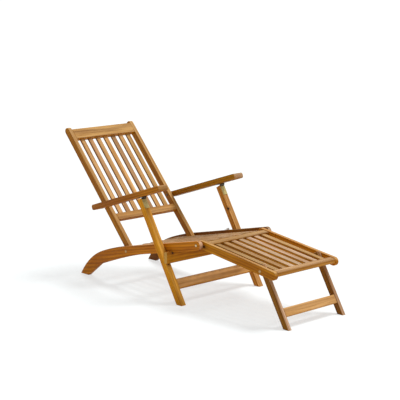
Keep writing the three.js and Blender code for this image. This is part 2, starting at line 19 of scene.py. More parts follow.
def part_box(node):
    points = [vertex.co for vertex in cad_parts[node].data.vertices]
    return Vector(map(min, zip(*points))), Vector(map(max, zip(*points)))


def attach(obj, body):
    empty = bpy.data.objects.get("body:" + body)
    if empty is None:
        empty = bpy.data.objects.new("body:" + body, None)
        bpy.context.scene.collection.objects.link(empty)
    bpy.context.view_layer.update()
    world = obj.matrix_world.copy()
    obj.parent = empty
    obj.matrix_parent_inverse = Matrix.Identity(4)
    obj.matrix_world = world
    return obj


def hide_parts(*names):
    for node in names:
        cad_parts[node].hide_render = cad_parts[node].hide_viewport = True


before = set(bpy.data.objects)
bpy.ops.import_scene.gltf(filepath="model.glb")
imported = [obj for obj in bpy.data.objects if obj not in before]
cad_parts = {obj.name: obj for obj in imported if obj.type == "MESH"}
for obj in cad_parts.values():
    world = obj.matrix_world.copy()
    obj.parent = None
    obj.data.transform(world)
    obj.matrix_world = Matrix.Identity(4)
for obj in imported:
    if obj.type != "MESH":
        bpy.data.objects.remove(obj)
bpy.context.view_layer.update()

log = logging.getLogger("deck_chair")

Triple = tuple[float, float, float]
Colour = Triple
Span = tuple[float, float]
Outlet = bpy.types.NodeSocket
Given = Union[Outlet, float, tuple[float, ...]]
MeshPart = Union[bmesh.types.BMVert, bmesh.types.BMEdge, bmesh.types.BMFace]


# Choices


class Side(Enum):
    """The two sides of the chair, with the sign of X on each."""

    LEFT = -1
    RIGHT = 1

    @property
    def word(self) -> str:
        """The side's name as the frame's nodes carry it."""
        return self.name.lower()


class Grain(Enum):
    """How a board's grain runs: across the chair, or in side view at an angle from +Y."""

    ACROSS = "across"
    SIDE_VIEW = "side view"


class Element(Enum):
    """What is picked on a mesh in edit mode, with the mesh's list of it."""

    VERT = "verts"
    EDGE = "edges"
    FACE = "faces"


# Angles in side view, in degrees from +Y, as the boards' length runs
SEAT_RUN = -12.4
BACK_RUN = 47.7
ARM_RUN = -18.1
LEG_RUN = 58.8
FOOTREST_RUN = 7.6
SMALL_LEG_RUN = 59.0

# How closely a face's normal follows the direction that the face is picked by
FACING = 0.99
SMOOTH_ANGLE = math.radians(35)
FALLING: Span = (1.0, 0.0)


# Short calls for nodes


@dataclass(frozen=True)
class Wave:
    """A noise pattern: waves per metre along X, Y and Z, octaves, and the weight of the finer ones."""

    scale: Triple
    octaves: float = 2.0
    weight: float = 0.5


class NodeKit:
    """Short calls that add nodes to a tree and link them."""

    def __init__(self, tree: bpy.types.NodeTree) -> None:
        """Keeps the tree.

        Args:
            tree: The node tree to add to.
        """
        self.tree = tree

    def link(self, source: Given, target: Outlet) -> None:
        """Links a socket to an input, or sets the input to a plain value.

        Args:
            source: A socket, or a number, colour or vector.
            target: The input socket.
        """
        if isinstance(source, bpy.types.NodeSocket):
            self.tree.links.new(source, target)
        elif target.type == "RGBA":
            target.default_value = (*source, 1.0)
        else:
            target.default_value = source

    def math(self, operation: str, *values: Given) -> Outlet:
        """A Math node.

        Args:
            operation: Its operation.
            values: Sockets or numbers.

        Returns:
            Its output.
        """
        node = self.tree.nodes.new("ShaderNodeMath")
        node.operation = operation
        for value, target in zip(values, node.inputs):
            self.link(value, target)
        return node.outputs[0]

    def vector(self, operation: str, *values: Given) -> Outlet:
        """A Vector Math node.

        Args:
            operation: Its operation.
            values: Sockets or vectors.

        Returns:
            Its vector output, or its value for a length or a dot product.
        """
        node = self.tree.nodes.new("ShaderNodeVectorMath")
        node.operation = operation
        for value, target in zip(values, node.inputs):
            self.link(value, target)
        return node.outputs["Value" if operation in ("LENGTH", "DOT_PRODUCT") else "Vector"]

    def noise(self, place: Outlet, wave: Wave) -> Outlet:
        """The value of a Noise texture.

        Args:
            place: Where it is read.
            wave: Its pattern.

        Returns:
            Its value, from 0 to 1.
        """
        node = self.tree.nodes.new("ShaderNodeTexNoise")
        self.link(self.vector("MULTIPLY", place, wave.scale), node.inputs["Vector"])
        self.link(1.0, node.inputs["Scale"])
        self.link(wave.octaves, node.inputs["Detail"])
        self.link(wave.weight, node.inputs["Roughness"])
        return node.outputs[0]

    def swing(self, place: Outlet, wave: Wave, reach: Given) -> Outlet:
        """A noise pattern that swings about zero.

        Args:
            place: Where it is read.
            wave: Its pattern.
            reach: Its whole swing.

        Returns:
            Its value.
        """
        return self.math("MULTIPLY", self.math("SUBTRACT", self.noise(place, wave), 0.5), reach)

    def remap(self, value: Outlet, source: tuple[Given, Given], target: Span = (0.0, 1.0)) -> Outlet:
        """A smooth Map Range.

        Args:
            value: The value to map.
            source: Where the result starts and ends.
            target: The result at the start and at the end.

        Returns:
            The mapped value.
        """
        node = self.tree.nodes.new("ShaderNodeMapRange")
        node.interpolation_type = "SMOOTHSTEP"
        for given, socket in zip((value, *source, *target), node.inputs):
            self.link(given, socket)
        return node.outputs[0]

    def mix(self, share: Given, first: Given, second: Given, blend: str = "MIX") -> Outlet:
        """A colour Mix node.

        Args:
            share: How much of the second colour.
            first: The first colour.
            second: The second colour.
            blend: The blend mode.

        Returns:
            The mixed colour.
        """
        node = self.tree.nodes.new("ShaderNodeMix")
        node.data_type = "RGBA"
        node.blend_type = blend
        colours = [socket for socket in node.inputs if socket.type == "RGBA"]
        for given, socket in zip((share, first, second), (node.inputs["Factor"], *colours)):
            self.link(given, socket)
        return next(socket for socket in node.outputs if socket.type == "RGBA")

    def bump(self, height: Outlet, strength: float, distance: float) -> Outlet:
        """The normal of a surface in relief.

        Args:
            height: The height, where 1 stands for the whole distance.
            strength: How much of the relief shows.
            distance: The relief's depth.

        Returns:
            The normal.
        """
        node = self.tree.nodes.new("ShaderNodeBump")
        self.link(strength, node.inputs["Strength"])
        self.link(distance, node.inputs["Distance"])
        self.link(height, node.inputs["Height"])
        return node.outputs["Normal"]

    def group(self, tree: bpy.types.NodeTree, values: dict[str, Given]) -> bpy.types.Node:
        """Places a node group.

        Args:
            tree: The group.
            values: What its inputs get, by name.

        Returns:
            The group's node.
        """
        node = self.tree.nodes.new("ShaderNodeGroup")
        node.node_tree = tree
        for name, value in values.items():
            self.link(value, node.inputs[name])
        return node


class GroupKit(NodeKit):
    """A new node group with named sockets, and the same short calls to fill it."""

    def __init__(self, name: str, takes: dict[str, float | None], gives: tuple[str, ...]) -> None:
        """Makes the group and its sockets.

        Args:
            name: The group's name.
            takes: Its inputs, each with its value where nothing is linked, or None for a vector.
            gives: The names of its outputs, which are all numbers.
        """
        super().__init__(bpy.data.node_groups.new(name, "ShaderNodeTree"))
        for socket, default in takes.items():
            kind = "NodeSocketVector" if default is None else "NodeSocketFloat"
            made = self.tree.interface.new_socket(socket, in_out="INPUT", socket_type=kind)
            if default is not None:
                made.default_value = default
        for socket in gives:
            self.tree.interface.new_socket(socket, in_out="OUTPUT", socket_type="NodeSocketFloat")
        self.inputs = self.tree.nodes.new("NodeGroupInput")
        self.outputs = self.tree.nodes.new("NodeGroupOutput")

    def given(self, name: str) -> Outlet:
        """The group's own input of this name."""
        return self.inputs.outputs[name]

    def put_out(self, **values: Outlet) -> None:
        """Links values to the group's outputs of the same names."""
        for name, value in values.items():
            self.link(value, self.outputs.inputs[name])


# Node groups shared by the finishes


@dataclass(frozen=True)
class WoodFigure:
    """The figure of sawn wood whose grain runs along Y: growth rings, streaks, clouds and pores."""

    seed_shift: Triple = (0.173, 0.619, 0.237)
    ring_pitch: float = 0.006
    waviness: float = 0.03
    bend: Wave = Wave((9.0, 1.6, 9.0))
    ripple: Wave = Wave((70.0, 5.0, 70.0), octaves=3.0)
    ripple_reach: float = 0.0035
    across: Triple = (1.0, 0.0, 1.0)
    late_wood: Span = (0.15, 0.86)
    next_year: Span = (0.88, 1.0)
    streaks: Wave = Wave((150.0, 3.2, 150.0), octaves=5.0, weight=0.6)
    clouds: Wave = Wave((26.0, 2.4, 26.0), octaves=3.0, weight=0.55)
    cells: Wave = Wave((1500.0, 42.0, 1500.0))
    open_cells: Span = (0.6, 0.7)
    pored_streaks: Span = (0.4, 0.62)
    streak_height: float = 0.5
    pore_depth: float = 0.6
    ring_depth: float = 0.25

    def build(self) -> bpy.types.NodeTree:
        """Makes the group, which puts out Rings, Streaks, Clouds, Pores and Height.

        Returns:
            The group.
        """
        takes = {"Vector": None, "Seed": 0.0, "Ring Pitch": self.ring_pitch, "Waviness": self.waviness}
        kit = GroupKit("wood_figure", takes, ("Rings", "Streaks", "Clouds", "Pores", "Height"))
        shift = kit.vector("SCALE", self.seed_shift)
        kit.link(kit.given("Seed"), shift.node.inputs["Scale"])
        place = kit.vector("ADD", kit.given("Vector"), shift)
        rings = self._rings(kit, place)
        streaks = kit.noise(place, self.streaks)
        in_streaks = kit.remap(streaks, self.pored_streaks)
        pores = kit.math("MULTIPLY", kit.remap(kit.noise(place, self.cells), self.open_cells), in_streaks)
        ridges = kit.math("MULTIPLY", streaks, self.streak_height)
        pitted = kit.math("SUBTRACT", ridges, kit.math("MULTIPLY", pores, self.pore_depth))
        height = kit.math("SUBTRACT", pitted, kit.math("MULTIPLY", rings, self.ring_depth))
        clouds = kit.noise(place, self.clouds)
        kit.put_out(Rings=rings, Streaks=streaks, Clouds=clouds, Pores=pores, Height=height)
        return kit.tree

    def _rings(self, kit: GroupKit, place: Outlet) -> Outlet:
        """The growth rings, round an axis along Y that bends and ripples.

        Args:
            kit: The group's kit.
            place: The place in the wood.

        Returns:
            The rings, from 0 in early wood to 1 in late wood.
        """
        bend = kit.swing(place, self.bend, kit.given("Waviness"))
        ripple = kit.swing(place, self.ripple, self.ripple_reach)
        off_heart = kit.vector("LENGTH", kit.vector("MULTIPLY", place, self.across))
        radius = kit.math("ADD", kit.math("ADD", off_heart, bend), ripple)
        phase = kit.math("FRACT", kit.math("DIVIDE", radius, kit.given("Ring Pitch")))
        late = kit.remap(phase, self.late_wood)
        return kit.math("MULTIPLY", late, kit.remap(phase, self.next_year, FALLING))


@dataclass(frozen=True)
class KnotPattern:
    """A knot or a painted shadow: a dark eye, and a halo in which a knot's grain turns round it."""

    radius: float = 0.005
    stretch: Triple = (1.0, 0.6, 1.0)
    edge: Wave = Wave((260.0, 260.0, 260.0), octaves=3.0)
    raggedness: float = 0.9
    eye: Span = (0.75, 1.1)
    halo: Span = (1.0, 3.2)

    def build(self) -> bpy.types.NodeTree:
        """Makes the group, which puts out Eye and Halo.

        Returns:
            The group.
        """
        takes = {"Vector": None, "Centre": None, "Radius": self.radius}
        kit = GroupKit("wood_knot", takes, ("Eye", "Halo"))
        offset = kit.vector("SUBTRACT", kit.given("Vector"), kit.given("Centre"))
        away = kit.vector("LENGTH", kit.vector("MULTIPLY", offset, self.stretch))
        reach = kit.math("DIVIDE", away, kit.given("Radius"))
        ragged = kit.math("ADD", reach, kit.swing(kit.given("Vector"), self.edge, self.raggedness))
        kit.put_out(Eye=kit.remap(ragged, self.eye, FALLING), Halo=kit.remap(ragged, self.halo, FALLING))
        return kit.tree


@dataclass(frozen=True)
class FacePattern:
    """Which faces of a board look a given way, from the surface's direction."""

    name: str
    way: Triple
    turn: Span
    both_ways: bool = False

    def build(self) -> bpy.types.NodeTree:
        """Makes the group, which puts out Mask.

        Returns:
            The group.
        """
        kit = GroupKit(self.name, {"Direction": None}, ("Mask",))
        along = kit.vector("DOT_PRODUCT", kit.vector("NORMALIZE", kit.given("Direction")), self.way)
        if self.both_ways:
            along = kit.math("ABSOLUTE", along)
        kit.put_out(Mask=kit.remap(along, self.turn))
        return kit.tree


# Sawn ends look along the grain; faces that look up keep the plain colour, and the others take a painted side
# shading
END_GRAIN = FacePattern("end_grain", way=(0.0, 1.0, 0.0), turn=(0.55, 0.9), both_ways=True)
UP_FACING = FacePattern("weathering", way=(0.0, 0.0, 1.0), turn=(0.05, 0.8))


@dataclass(frozen=True)
class WornArris:
    """Where an edge is paler: worn by hands and the elements, and with a painted highlight along the arris.
    """

    reach: float = 0.0035
    samples: int = 4
    turn: Span = (0.985, 0.8)
    wear: Wave = Wave((60.0, 60.0, 60.0), octaves=4.0, weight=0.6)
    worn: Span = (0.35, 0.65)
    wear_share: Span = (0.25, 1.0)

    def build(self) -> bpy.types.NodeTree:
        """Makes the group, which puts out Mask.

        Returns:
            The group.
        """
        kit = GroupKit("worn_arris", {"Vector": None, "Reach": self.reach}, ("Mask",))
        bevel = kit.tree.nodes.new("ShaderNodeBevel")
        bevel.samples = self.samples
        kit.link(kit.given("Reach"), bevel.inputs["Radius"])
        geometry = kit.tree.nodes.new("ShaderNodeNewGeometry")
        turn = kit.vector("DOT_PRODUCT", bevel.outputs["Normal"], geometry.outputs["Normal"])
        broken = kit.remap(kit.noise(kit.given("Vector"), self.wear), self.worn, self.wear_share)
        kit.put_out(Mask=kit.math("MULTIPLY", kit.remap(turn, self.turn), broken))
        return kit.tree


@dataclass(frozen=True)
class MetalPatina:
    """Tarnish, small scratches and dull patches of outdoor metal."""

    patches: Wave = Wave((170.0, 170.0, 170.0), octaves=5.0, weight=0.65)
    least: float = 0.78
    amount_share: float = 0.4
    below: float = 0.12
    above: float = 0.1
    lines: Wave = Wave((300.0, 2600.0, 300.0), octaves=3.0)
    scratched: Span = (0.56, 0.66)
    scratch_height: float = -0.5
    patch_height: float = 0.4

    def build(self) -> bpy.types.NodeTree:
        """Makes the group, which puts out Tarnish, Scratches and Height.

        Returns:
            The group.
        """
        kit = GroupKit("metal_patina", {"Vector": None, "Amount": 0.5}, ("Tarnish", "Scratches", "Height"))
        patches = kit.noise(kit.given("Vector"), self.patches)
        level = kit.math("SUBTRACT", self.least, kit.math("MULTIPLY", kit.given("Amount"), self.amount_share))
        start, stop = kit.math("SUBTRACT", level, self.below), kit.math("ADD", level, self.above)
        scratches = kit.remap(kit.noise(kit.given("Vector"), self.lines), self.scratched)
        cut = kit.math("MULTIPLY", scratches, self.scratch_height)
        height = kit.math("ADD", cut, kit.math("MULTIPLY", patches, self.patch_height))
        kit.put_out(Tarnish=kit.remap(patches, (start, stop)), Scratches=scratches, Height=height)
        return kit.tree


class Groups:
    """The shared node groups, each built once."""

    def __init__(self) -> None:
        """Builds all of them."""
        self.figure = WoodFigure().build()
        self.knot = KnotPattern().build()
        self.end = END_GRAIN.build()
        self.weather = UP_FACING.build()
        self.arris = WornArris().build()
        self.patina = MetalPatina().build()


class Surface:
    """A new material with its shader, and the coordinates that its patterns read."""

    def __init__(self, name: str) -> None:
        """Makes the material.

        Args:
            name: Its name.
        """
        self.material = bpy.data.materials.new(name)
        self.material.use_nodes = True
        tree = self.material.node_tree
        self.kit = NodeKit(tree)
        self.shader = tree.nodes["Principled BSDF"]
        coordinates = tree.nodes.new("ShaderNodeTexCoord")
        self.place = coordinates.outputs["Object"]
        self.normal = coordinates.outputs["Normal"]

    def feed(self, socket: str, value: Given) -> None:
        """Links one of the shader's inputs, or sets it to a plain value."""
        self.kit.link(value, self.shader.inputs[socket])


# Finishes of wood


@dataclass(frozen=True)
class WoodTone:
    """The colours of one lot of boards. Faces that don't look up are multiplied by the side colour, a painted
    side shading that darkens or lightens them and deepens their hue.
    """

    pale: Colour
    deep: Colour
    line: Colour
    fresh: Colour = (1.02, 0.72, 0.05)
    roughness: float = 0.5
    rose_green: float = -0.06
    rose_blue: float = 0.35

    def tinted(self, light: float, rose: float = 0.0) -> "WoodTone":
        """The same wood from a lighter or darker, or a rosier, board.

        Args:
            light: A factor on the brightness.
            rose: How far the colour leans from gold to rose, from -1 to 1.

        Returns:
            The new tone.
        """
        green, blue = 1 + self.rose_green * rose, 1 + self.rose_blue * rose
        pale, deep, line = (
            (colour[0] * light, colour[1] * light * green, colour[2] * light * blue)
            for colour in (self.pale, self.deep, self.line)
        )
        return WoodTone(pale, deep, line, self.fresh, self.roughness)


# The side colour of each tone paints shade on the faces that don't look up: it darkens or lightens them and
# takes out blue
GOLDEN = WoodTone(pale=(0.60, 0.345, 0.115), deep=(0.42, 0.205, 0.050), line=(0.20, 0.074, 0.012))
AMBER = WoodTone(
    pale=(0.74, 0.45, 0.165), deep=(0.54, 0.285, 0.080), line=(0.25, 0.10, 0.018), fresh=(0.71, 0.47, 0.04)
)
HONEY = WoodTone(pale=(0.66, 0.375, 0.115), deep=(0.48, 0.235, 0.050), line=(0.20, 0.072, 0.012))
RUSSET = WoodTone(pale=(0.56, 0.285, 0.085), deep=(0.38, 0.165, 0.036), line=(0.17, 0.058, 0.009))
UMBER = WoodTone(pale=(0.47, 0.285, 0.10), deep=(0.315, 0.165, 0.045), line=(0.14, 0.058, 0.012))
OCHRE = WoodTone(
    pale=(0.64, 0.347, 0.076), deep=(0.45, 0.21, 0.032), line=(0.225, 0.085, 0.010), fresh=(1.30, 1.09, 0.11)
)
FAWN = WoodTone(
    pale=(0.69, 0.425, 0.205), deep=(0.50, 0.275, 0.100), line=(0.23, 0.090, 0.020), fresh=(1.12, 0.85, 0.27)
)
ROSY = WoodTone(
    pale=(0.84, 0.58, 0.41), deep=(0.60, 0.37, 0.22), line=(0.22, 0.088, 0.026), fresh=(0.45, 0.275, 0.02)
)
SANDED = WoodTone(
    pale=(0.71, 0.42, 0.165), deep=(0.52, 0.27, 0.080), line=(0.22, 0.085, 0.018),
    fresh=(0.43, 0.27, 0.02), roughness=0.56,
)
WORN = WoodTone(
    pale=(0.66, 0.47, 0.29), deep=(0.47, 0.29, 0.135), line=(0.20, 0.090, 0.025),
    fresh=(1.12, 0.78, 0.09), roughness=0.6,
)
GOLDEN_SLAT = WoodTone(
    pale=(0.71, 0.42, 0.165), deep=(0.52, 0.27, 0.080), line=(0.22, 0.085, 0.018), fresh=(1.05, 0.75, 0.08)
)
DECK = WoodTone(pale=(0.65, 0.44, 0.22), deep=(0.48, 0.29, 0.12), line=(0.22, 0.105, 0.034), roughness=0.6)


@dataclass(frozen=True)
class Knot:
    """A knot, a dark spot or a painted shadow in a board, by its place in the chair's frame and its radius.
    """

    place: Triple
    radius: float


@dataclass(frozen=True)
class SawnEnd:
    """How a board's sawn ends look: how far they turn to their colour, which is the board's line if none."""

    share: float = 0.32
    colour: Colour | None = None


PLAIN_END = SawnEnd()
SHADED_END = SawnEnd(0.45, (0.44, 0.28, 0.12))
SANDED_END = SawnEnd(0.45, (0.62, 0.41, 0.28))
BLEACHED_END = SawnEnd(0.45, (0.84, 0.62, 0.44))
PALE_END = SawnEnd(0.75, (0.84, 0.62, 0.44))
GOLDEN_END = SawnEnd(0.65, (0.66, 0.43, 0.13))


@dataclass(frozen=True)
class WoodBlend:
    """How strongly each part of the figure tells in a board's colour, roughness and relief."""

    clouds: Span = (0.36, 0.62)
    streaks: Span = (0.48, 0.74)
    streak_share: Span = (0.0, 0.7)
    ring_share: float = 0.42
    pore_share: float = 0.5
    rubbed_share: float = 0.4
    rubbed: Colour = (0.68, 0.42, 0.17)
    halo_share: float = 0.5
    eye_share: float = 0.93
    eye: Colour = (0.022, 0.011, 0.006)
    dry_streaks: Span = (0.3, 0.75)
    smoother: float = 0.08
    rougher: float = 0.1
    end_roughness: float = 0.2
    gloss: float = 0.12
    relief: float = 0.55
    relief_depth: float = 0.0005


BLEND = WoodBlend()


@dataclass(frozen=True)
class WoodFinish:
    """The finish of one board."""

    tone: WoodTone
    grain: Grain
    ring_pitch: float
    seed: float
    run: float = 0.0
    knots: tuple[Knot, ...] = ()
    end: SawnEnd = PLAIN_END

    def turn(self) -> Triple:
        """The turn that brings the board's grain to Y.

        Returns:
            Its Euler angles.
        """
        if self.grain is Grain.ACROSS:
            return (0.0, 0.0, math.pi / 2)
        return (-math.radians(self.run), 0.0, 0.0)

    def build(self, name: str, groups: Groups) -> bpy.types.Material:
        """Makes the board's material.

        Args:
            name: The board's name.
            groups: The shared node groups.

        Returns:
            The material.
        """
        surface = Surface(f"wood_{name}")
        kit = surface.kit
        place = self._turned(kit, surface.place, "POINT")
        direction = self._turned(kit, surface.normal, "VECTOR")
        figure = kit.group(groups.figure, {"Vector": place, "Seed": self.seed, "Ring Pitch": self.ring_pitch})
        end = kit.group(groups.end, {"Direction": direction}).outputs["Mask"]
        arris = kit.group(groups.arris, {"Vector": place}).outputs["Mask"]
        up_faces = kit.group(groups.weather, {"Direction": surface.normal}).outputs["Mask"]
        colour = self._colour(kit, figure, end, arris, up_faces)
        colour, sunk = self._knots(kit, groups, surface.place, colour)
        roughness = self.tone.roughness
        dryness = (roughness - BLEND.smoother, roughness + BLEND.rougher)
        dry = kit.remap(figure.outputs["Streaks"], BLEND.dry_streaks, dryness)
        height = kit.math("SUBTRACT", figure.outputs["Height"], sunk)
        surface.feed("Base Color", colour)
        surface.feed("Roughness", kit.math("ADD", dry, kit.math("MULTIPLY", end, BLEND.end_roughness)))
        surface.feed("Specular IOR Level", BLEND.gloss)
        surface.feed("Normal", kit.bump(height, BLEND.relief, BLEND.relief_depth))
        return surface.material

    def _turned(self, kit: NodeKit, vector: Outlet, kind: str) -> Outlet:
        """Turns a vector so that the board's grain lies along Y.

        Args:
            kit: The material's node kit.
            vector: The vector to turn.
            kind: POINT for a place, VECTOR for a direction.

        Returns:
            The turned vector.
        """
        mapping = kit.tree.nodes.new("ShaderNodeMapping")
        mapping.vector_type = kind
        kit.link(self.turn(), mapping.inputs["Rotation"])
        kit.link(vector, mapping.inputs["Vector"])
        return mapping.outputs["Vector"]

    def _colour(
        self, kit: NodeKit, figure: bpy.types.Node, end: Outlet, arris: Outlet, up_faces: Outlet
    ) -> Outlet:
        """The board's colour before its knots.

        Args:
            kit: The material's node kit.
            figure: The figure group's node.
            end: The mask of sawn ends.
            arris: The mask of paler edges, from wear and a painted highlight.
            up_faces: The mask of faces that look up, which go without the painted side shading.

        Returns:
            The colour.
        """
        tone = self.tone
        clouds = kit.remap(figure.outputs["Clouds"], BLEND.clouds)
        streaks = kit.remap(figure.outputs["Streaks"], BLEND.streaks, BLEND.streak_share)
        rings = kit.math("MULTIPLY", figure.outputs["Rings"], BLEND.ring_share)
        pores = kit.math("MULTIPLY", figure.outputs["Pores"], BLEND.pore_share)
        ground = kit.mix(clouds, tone.deep, tone.pale)
        ringed = kit.mix(rings, kit.mix(streaks, ground, tone.line), tone.line)
        pored = kit.mix(pores, ringed, tone.line, "MULTIPLY")
        # Paler edges, from wear and a painted highlight along the arris
        rubbed = kit.mix(kit.math("MULTIPLY", arris, BLEND.rubbed_share), pored, BLEND.rubbed)
        # Painted side shading: faces that don't look up are multiplied by the tone's side colour
        fresh = kit.mix(1.0, rubbed, tone.fresh, "MULTIPLY")
        side_shaded = kit.mix(up_faces, fresh, rubbed)
        return kit.mix(kit.math("MULTIPLY", end, self.end.share), side_shaded, self.end.colour or tone.line)

    def _knots(self, kit: NodeKit, groups: Groups, place: Outlet, colour: Outlet) -> tuple[Outlet, Given]:
        """Adds the board's knots, dark spots and painted shadows.

        Args:
            kit: The material's node kit.
            groups: The shared node groups.
            place: The place on the surface.
            colour: The colour without them.

        Returns:
            The colour with them, and how deep they sink in the bump's height.
        """
        sunk: Given = 0.0
        for knot in self.knots:
            node = kit.group(groups.knot, {"Vector": place, "Centre": knot.place, "Radius": knot.radius})
            halo = kit.math("MULTIPLY", node.outputs["Halo"], BLEND.halo_share)
            eye = kit.math("MULTIPLY", node.outputs["Eye"], BLEND.eye_share)
            colour = kit.mix(eye, kit.mix(halo, colour, self.tone.line), BLEND.eye)
            sunk = kit.math("ADD", sunk, node.outputs["Eye"])
        return colour, sunk


# Finishes of metal


@dataclass(frozen=True)
class Blackening:
    """Painted shade, mixed with dark grease and tarnish, round a hinge's pin, by distance from its axis."""

    reach: Span = (0.008, 0.0115)
    colour: Colour = (0.028, 0.022, 0.014)
    off_axis: Triple = (0.0, 1.0, 1.0)


PIN_SHADE_AND_TARNISH = Blackening()


@dataclass(frozen=True)
class MetalFinish:
    """The finish of a metal fitting."""

    bright: Colour
    tarnished: Colour
    roughness: float
    tarnish: float
    sheen: float = 0.9
    gloss: float = 0.5
    scratch_share: float = 0.3
    dull_sheen: float = 0.6
    dull_roughness: float = 0.25
    relief: float = 0.3
    relief_depth: float = 0.0002

    def build(self, name: str, groups: Groups, pin: Vector | None = None) -> bpy.types.Material:
        """Makes the material.

        Args:
            name: The material's name.
            groups: The shared node groups.
            pin: A point on a hinge's pin, round which the metal is darkened by painted shade and tarnish.

        Returns:
            The material.
        """
        surface = Surface(f"metal_{name}")
        kit = surface.kit
        patina = kit.group(groups.patina, {"Vector": surface.place, "Amount": self.tarnish}).outputs
        tarnish, whole = patina["Tarnish"], (0.0, 1.0)
        scratches = kit.math("MULTIPLY", patina["Scratches"], self.scratch_share)
        colour = kit.mix(scratches, kit.mix(tarnish, self.bright, self.tarnished), self.bright)
        shine = kit.remap(tarnish, whole, (self.sheen, self.sheen * self.dull_sheen))
        if pin is not None:
            # Painted shade round the hinge's pin, mixed with tarnish
            pin_shade = self._blackened(kit, surface.place, pin)
            colour = kit.mix(pin_shade, colour, PIN_SHADE_AND_TARNISH.colour)
            shine = kit.math("MULTIPLY", shine, kit.math("SUBTRACT", 1.0, pin_shade))
        surface.feed("Base Color", colour)
        surface.feed("Metallic", shine)
        surface.feed("Specular IOR Level", self.gloss)
        dulled = (self.roughness, self.roughness + self.dull_roughness)
        surface.feed("Roughness", kit.remap(tarnish, whole, dulled))
        surface.feed("Normal", kit.bump(patina["Height"], self.relief, self.relief_depth))
        return surface.material

    @staticmethod
    def _blackened(kit: NodeKit, place: Outlet, pin: Vector) -> Outlet:
        """Where the metal round a hinge's pin is darkened by painted shade and tarnish.

        Args:
            kit: The material's node kit.
            place: The place on the surface.
            pin: A point on the pin's axis, which runs along X.

        Returns:
            The mask.
        """
        off_pin = kit.vector("MULTIPLY", kit.vector("SUBTRACT", place, tuple(pin)), PIN_SHADE_AND_TARNISH.off_axis)
        return kit.remap(kit.vector("LENGTH", off_pin), PIN_SHADE_AND_TARNISH.reach, FALLING)


PALE_BRASS = MetalFinish(
    bright=(0.54, 0.44, 0.17), tarnished=(0.32, 0.25, 0.08), roughness=0.5, tarnish=0.45, sheen=0.5
)
OLD_BRASS = MetalFinish(
    bright=(0.44, 0.26, 0.09), tarnished=(0.32, 0.18, 0.06), roughness=0.55, tarnish=0.4,
    sheen=0.1, gloss=0.15,
)
PALE_ZINC = MetalFinish(
    bright=(0.97, 0.96, 0.95), tarnished=(0.88, 0.85, 0.83), roughness=0.5, tarnish=0.4,
    sheen=0.0, gloss=0.3,
)
CREAM_ZINC = MetalFinish(
    bright=(0.96, 0.77, 0.47), tarnished=(0.84, 0.63, 0.36), roughness=0.6, tarnish=0.3,
    sheen=0.0, gloss=0.15,
)
TAN_ZINC = MetalFinish(
    bright=(0.68, 0.46, 0.22), tarnished=(0.52, 0.33, 0.14), roughness=0.55, tarnish=0.35,
    sheen=0.05, gloss=0.2,
)
# Dark brown for the rings round the footrest pivot bolts, painting the shade of a recess round their heads
RECESS_SHADE_BROWN = MetalFinish(
    bright=(0.22, 0.12, 0.04), tarnished=(0.14, 0.07, 0.02), roughness=0.6, tarnish=0.5,
    sheen=0.0, gloss=0.1,
)
# Dark steel, which also paints the shade in the bolts' sockets and under the arms
DARK_STEEL_AND_SHADE = MetalFinish(bright=(0.16, 0.13, 0.10), tarnished=(0.07, 0.05, 0.035), roughness=0.5, tarnish=0.6)


# Work on meshes


class Bench:
    """The work on pieces: starting one, picking its parts, copying it and giving it its place."""

    @staticmethod
    def start() -> None:
        """Deselects everything, so an operator acts on the new piece alone."""
        if bpy.context.object and bpy.context.object.mode != "OBJECT":
            bpy.ops.object.mode_set(mode="OBJECT")
        bpy.ops.object.select_all(action="DESELECT")

    @staticmethod
    def disc(facets: int, radius: float, depth: float) -> bpy.types.Object:
        """A round or many-sided disc that stands on the XY plane, in edit mode.

        Args:
            facets: Its number of sides.
            radius: Its radius, to the corners.
            depth: Its thickness.

        Returns:
            The disc.
        """
        Bench.start()
        bpy.ops.mesh.primitive_cylinder_add(
            vertices=facets, radius=radius, depth=depth, location=(0, 0, depth / 2)
        )
        bpy.ops.object.mode_set(mode="EDIT")
        return bpy.context.object

    @staticmethod
    def pick(piece: bpy.types.Object, kind: Element, wanted: Callable[[MeshPart], bool]) -> None:
        """Selects the corners, edges or faces that pass a test, and no others.

        Args:
            piece: The piece, in edit mode.
            kind: What is picked.
            wanted: The test.
        """
        bpy.ops.mesh.select_mode(type=kind.name)
        bpy.ops.mesh.select_all(action="DESELECT")
        mesh = bmesh.from_edit_mesh(piece.data)
        for part in getattr(mesh, kind.value):
            if wanted(part):
                part.select_set(True)
        mesh.select_flush_mode()
        bmesh.update_edit_mesh(piece.data)

    @staticmethod
    def place(piece: bpy.types.Object, name: str, matrix: Matrix) -> bpy.types.Object:
        """Gives a finished piece its name and puts its place into its mesh.

        Args:
            piece: The piece, modelled about the origin.
            name: Its name.
            matrix: Where it goes.

        Returns:
            The piece.
        """
        piece.name = name
        piece.data.name = name
        piece.matrix_world = matrix
        bpy.ops.object.select_all(action="DESELECT")
        piece.select_set(True)
        bpy.context.view_layer.objects.active = piece
        bpy.ops.object.transform_apply(location=True, rotation=True, scale=True)
        bpy.ops.object.shade_smooth_by_angle(angle=SMOOTH_ANGLE)
        return piece

    @staticmethod
    def copy(pattern: bpy.types.Object) -> bpy.types.Object:
        """A copy of a piece with its own mesh.

        Args:
            pattern: The piece to copy.

        Returns:
            The copy.
        """
        twin = pattern.copy()
        twin.data = pattern.data.copy()
        bpy.context.collection.objects.link(twin)
        return twin

    @staticmethod
    def coat(piece: bpy.types.Object, material: bpy.types.Material) -> None:
        """Gives a piece one material."""
        piece.data.materials.clear()
        piece.data.materials.append(material)


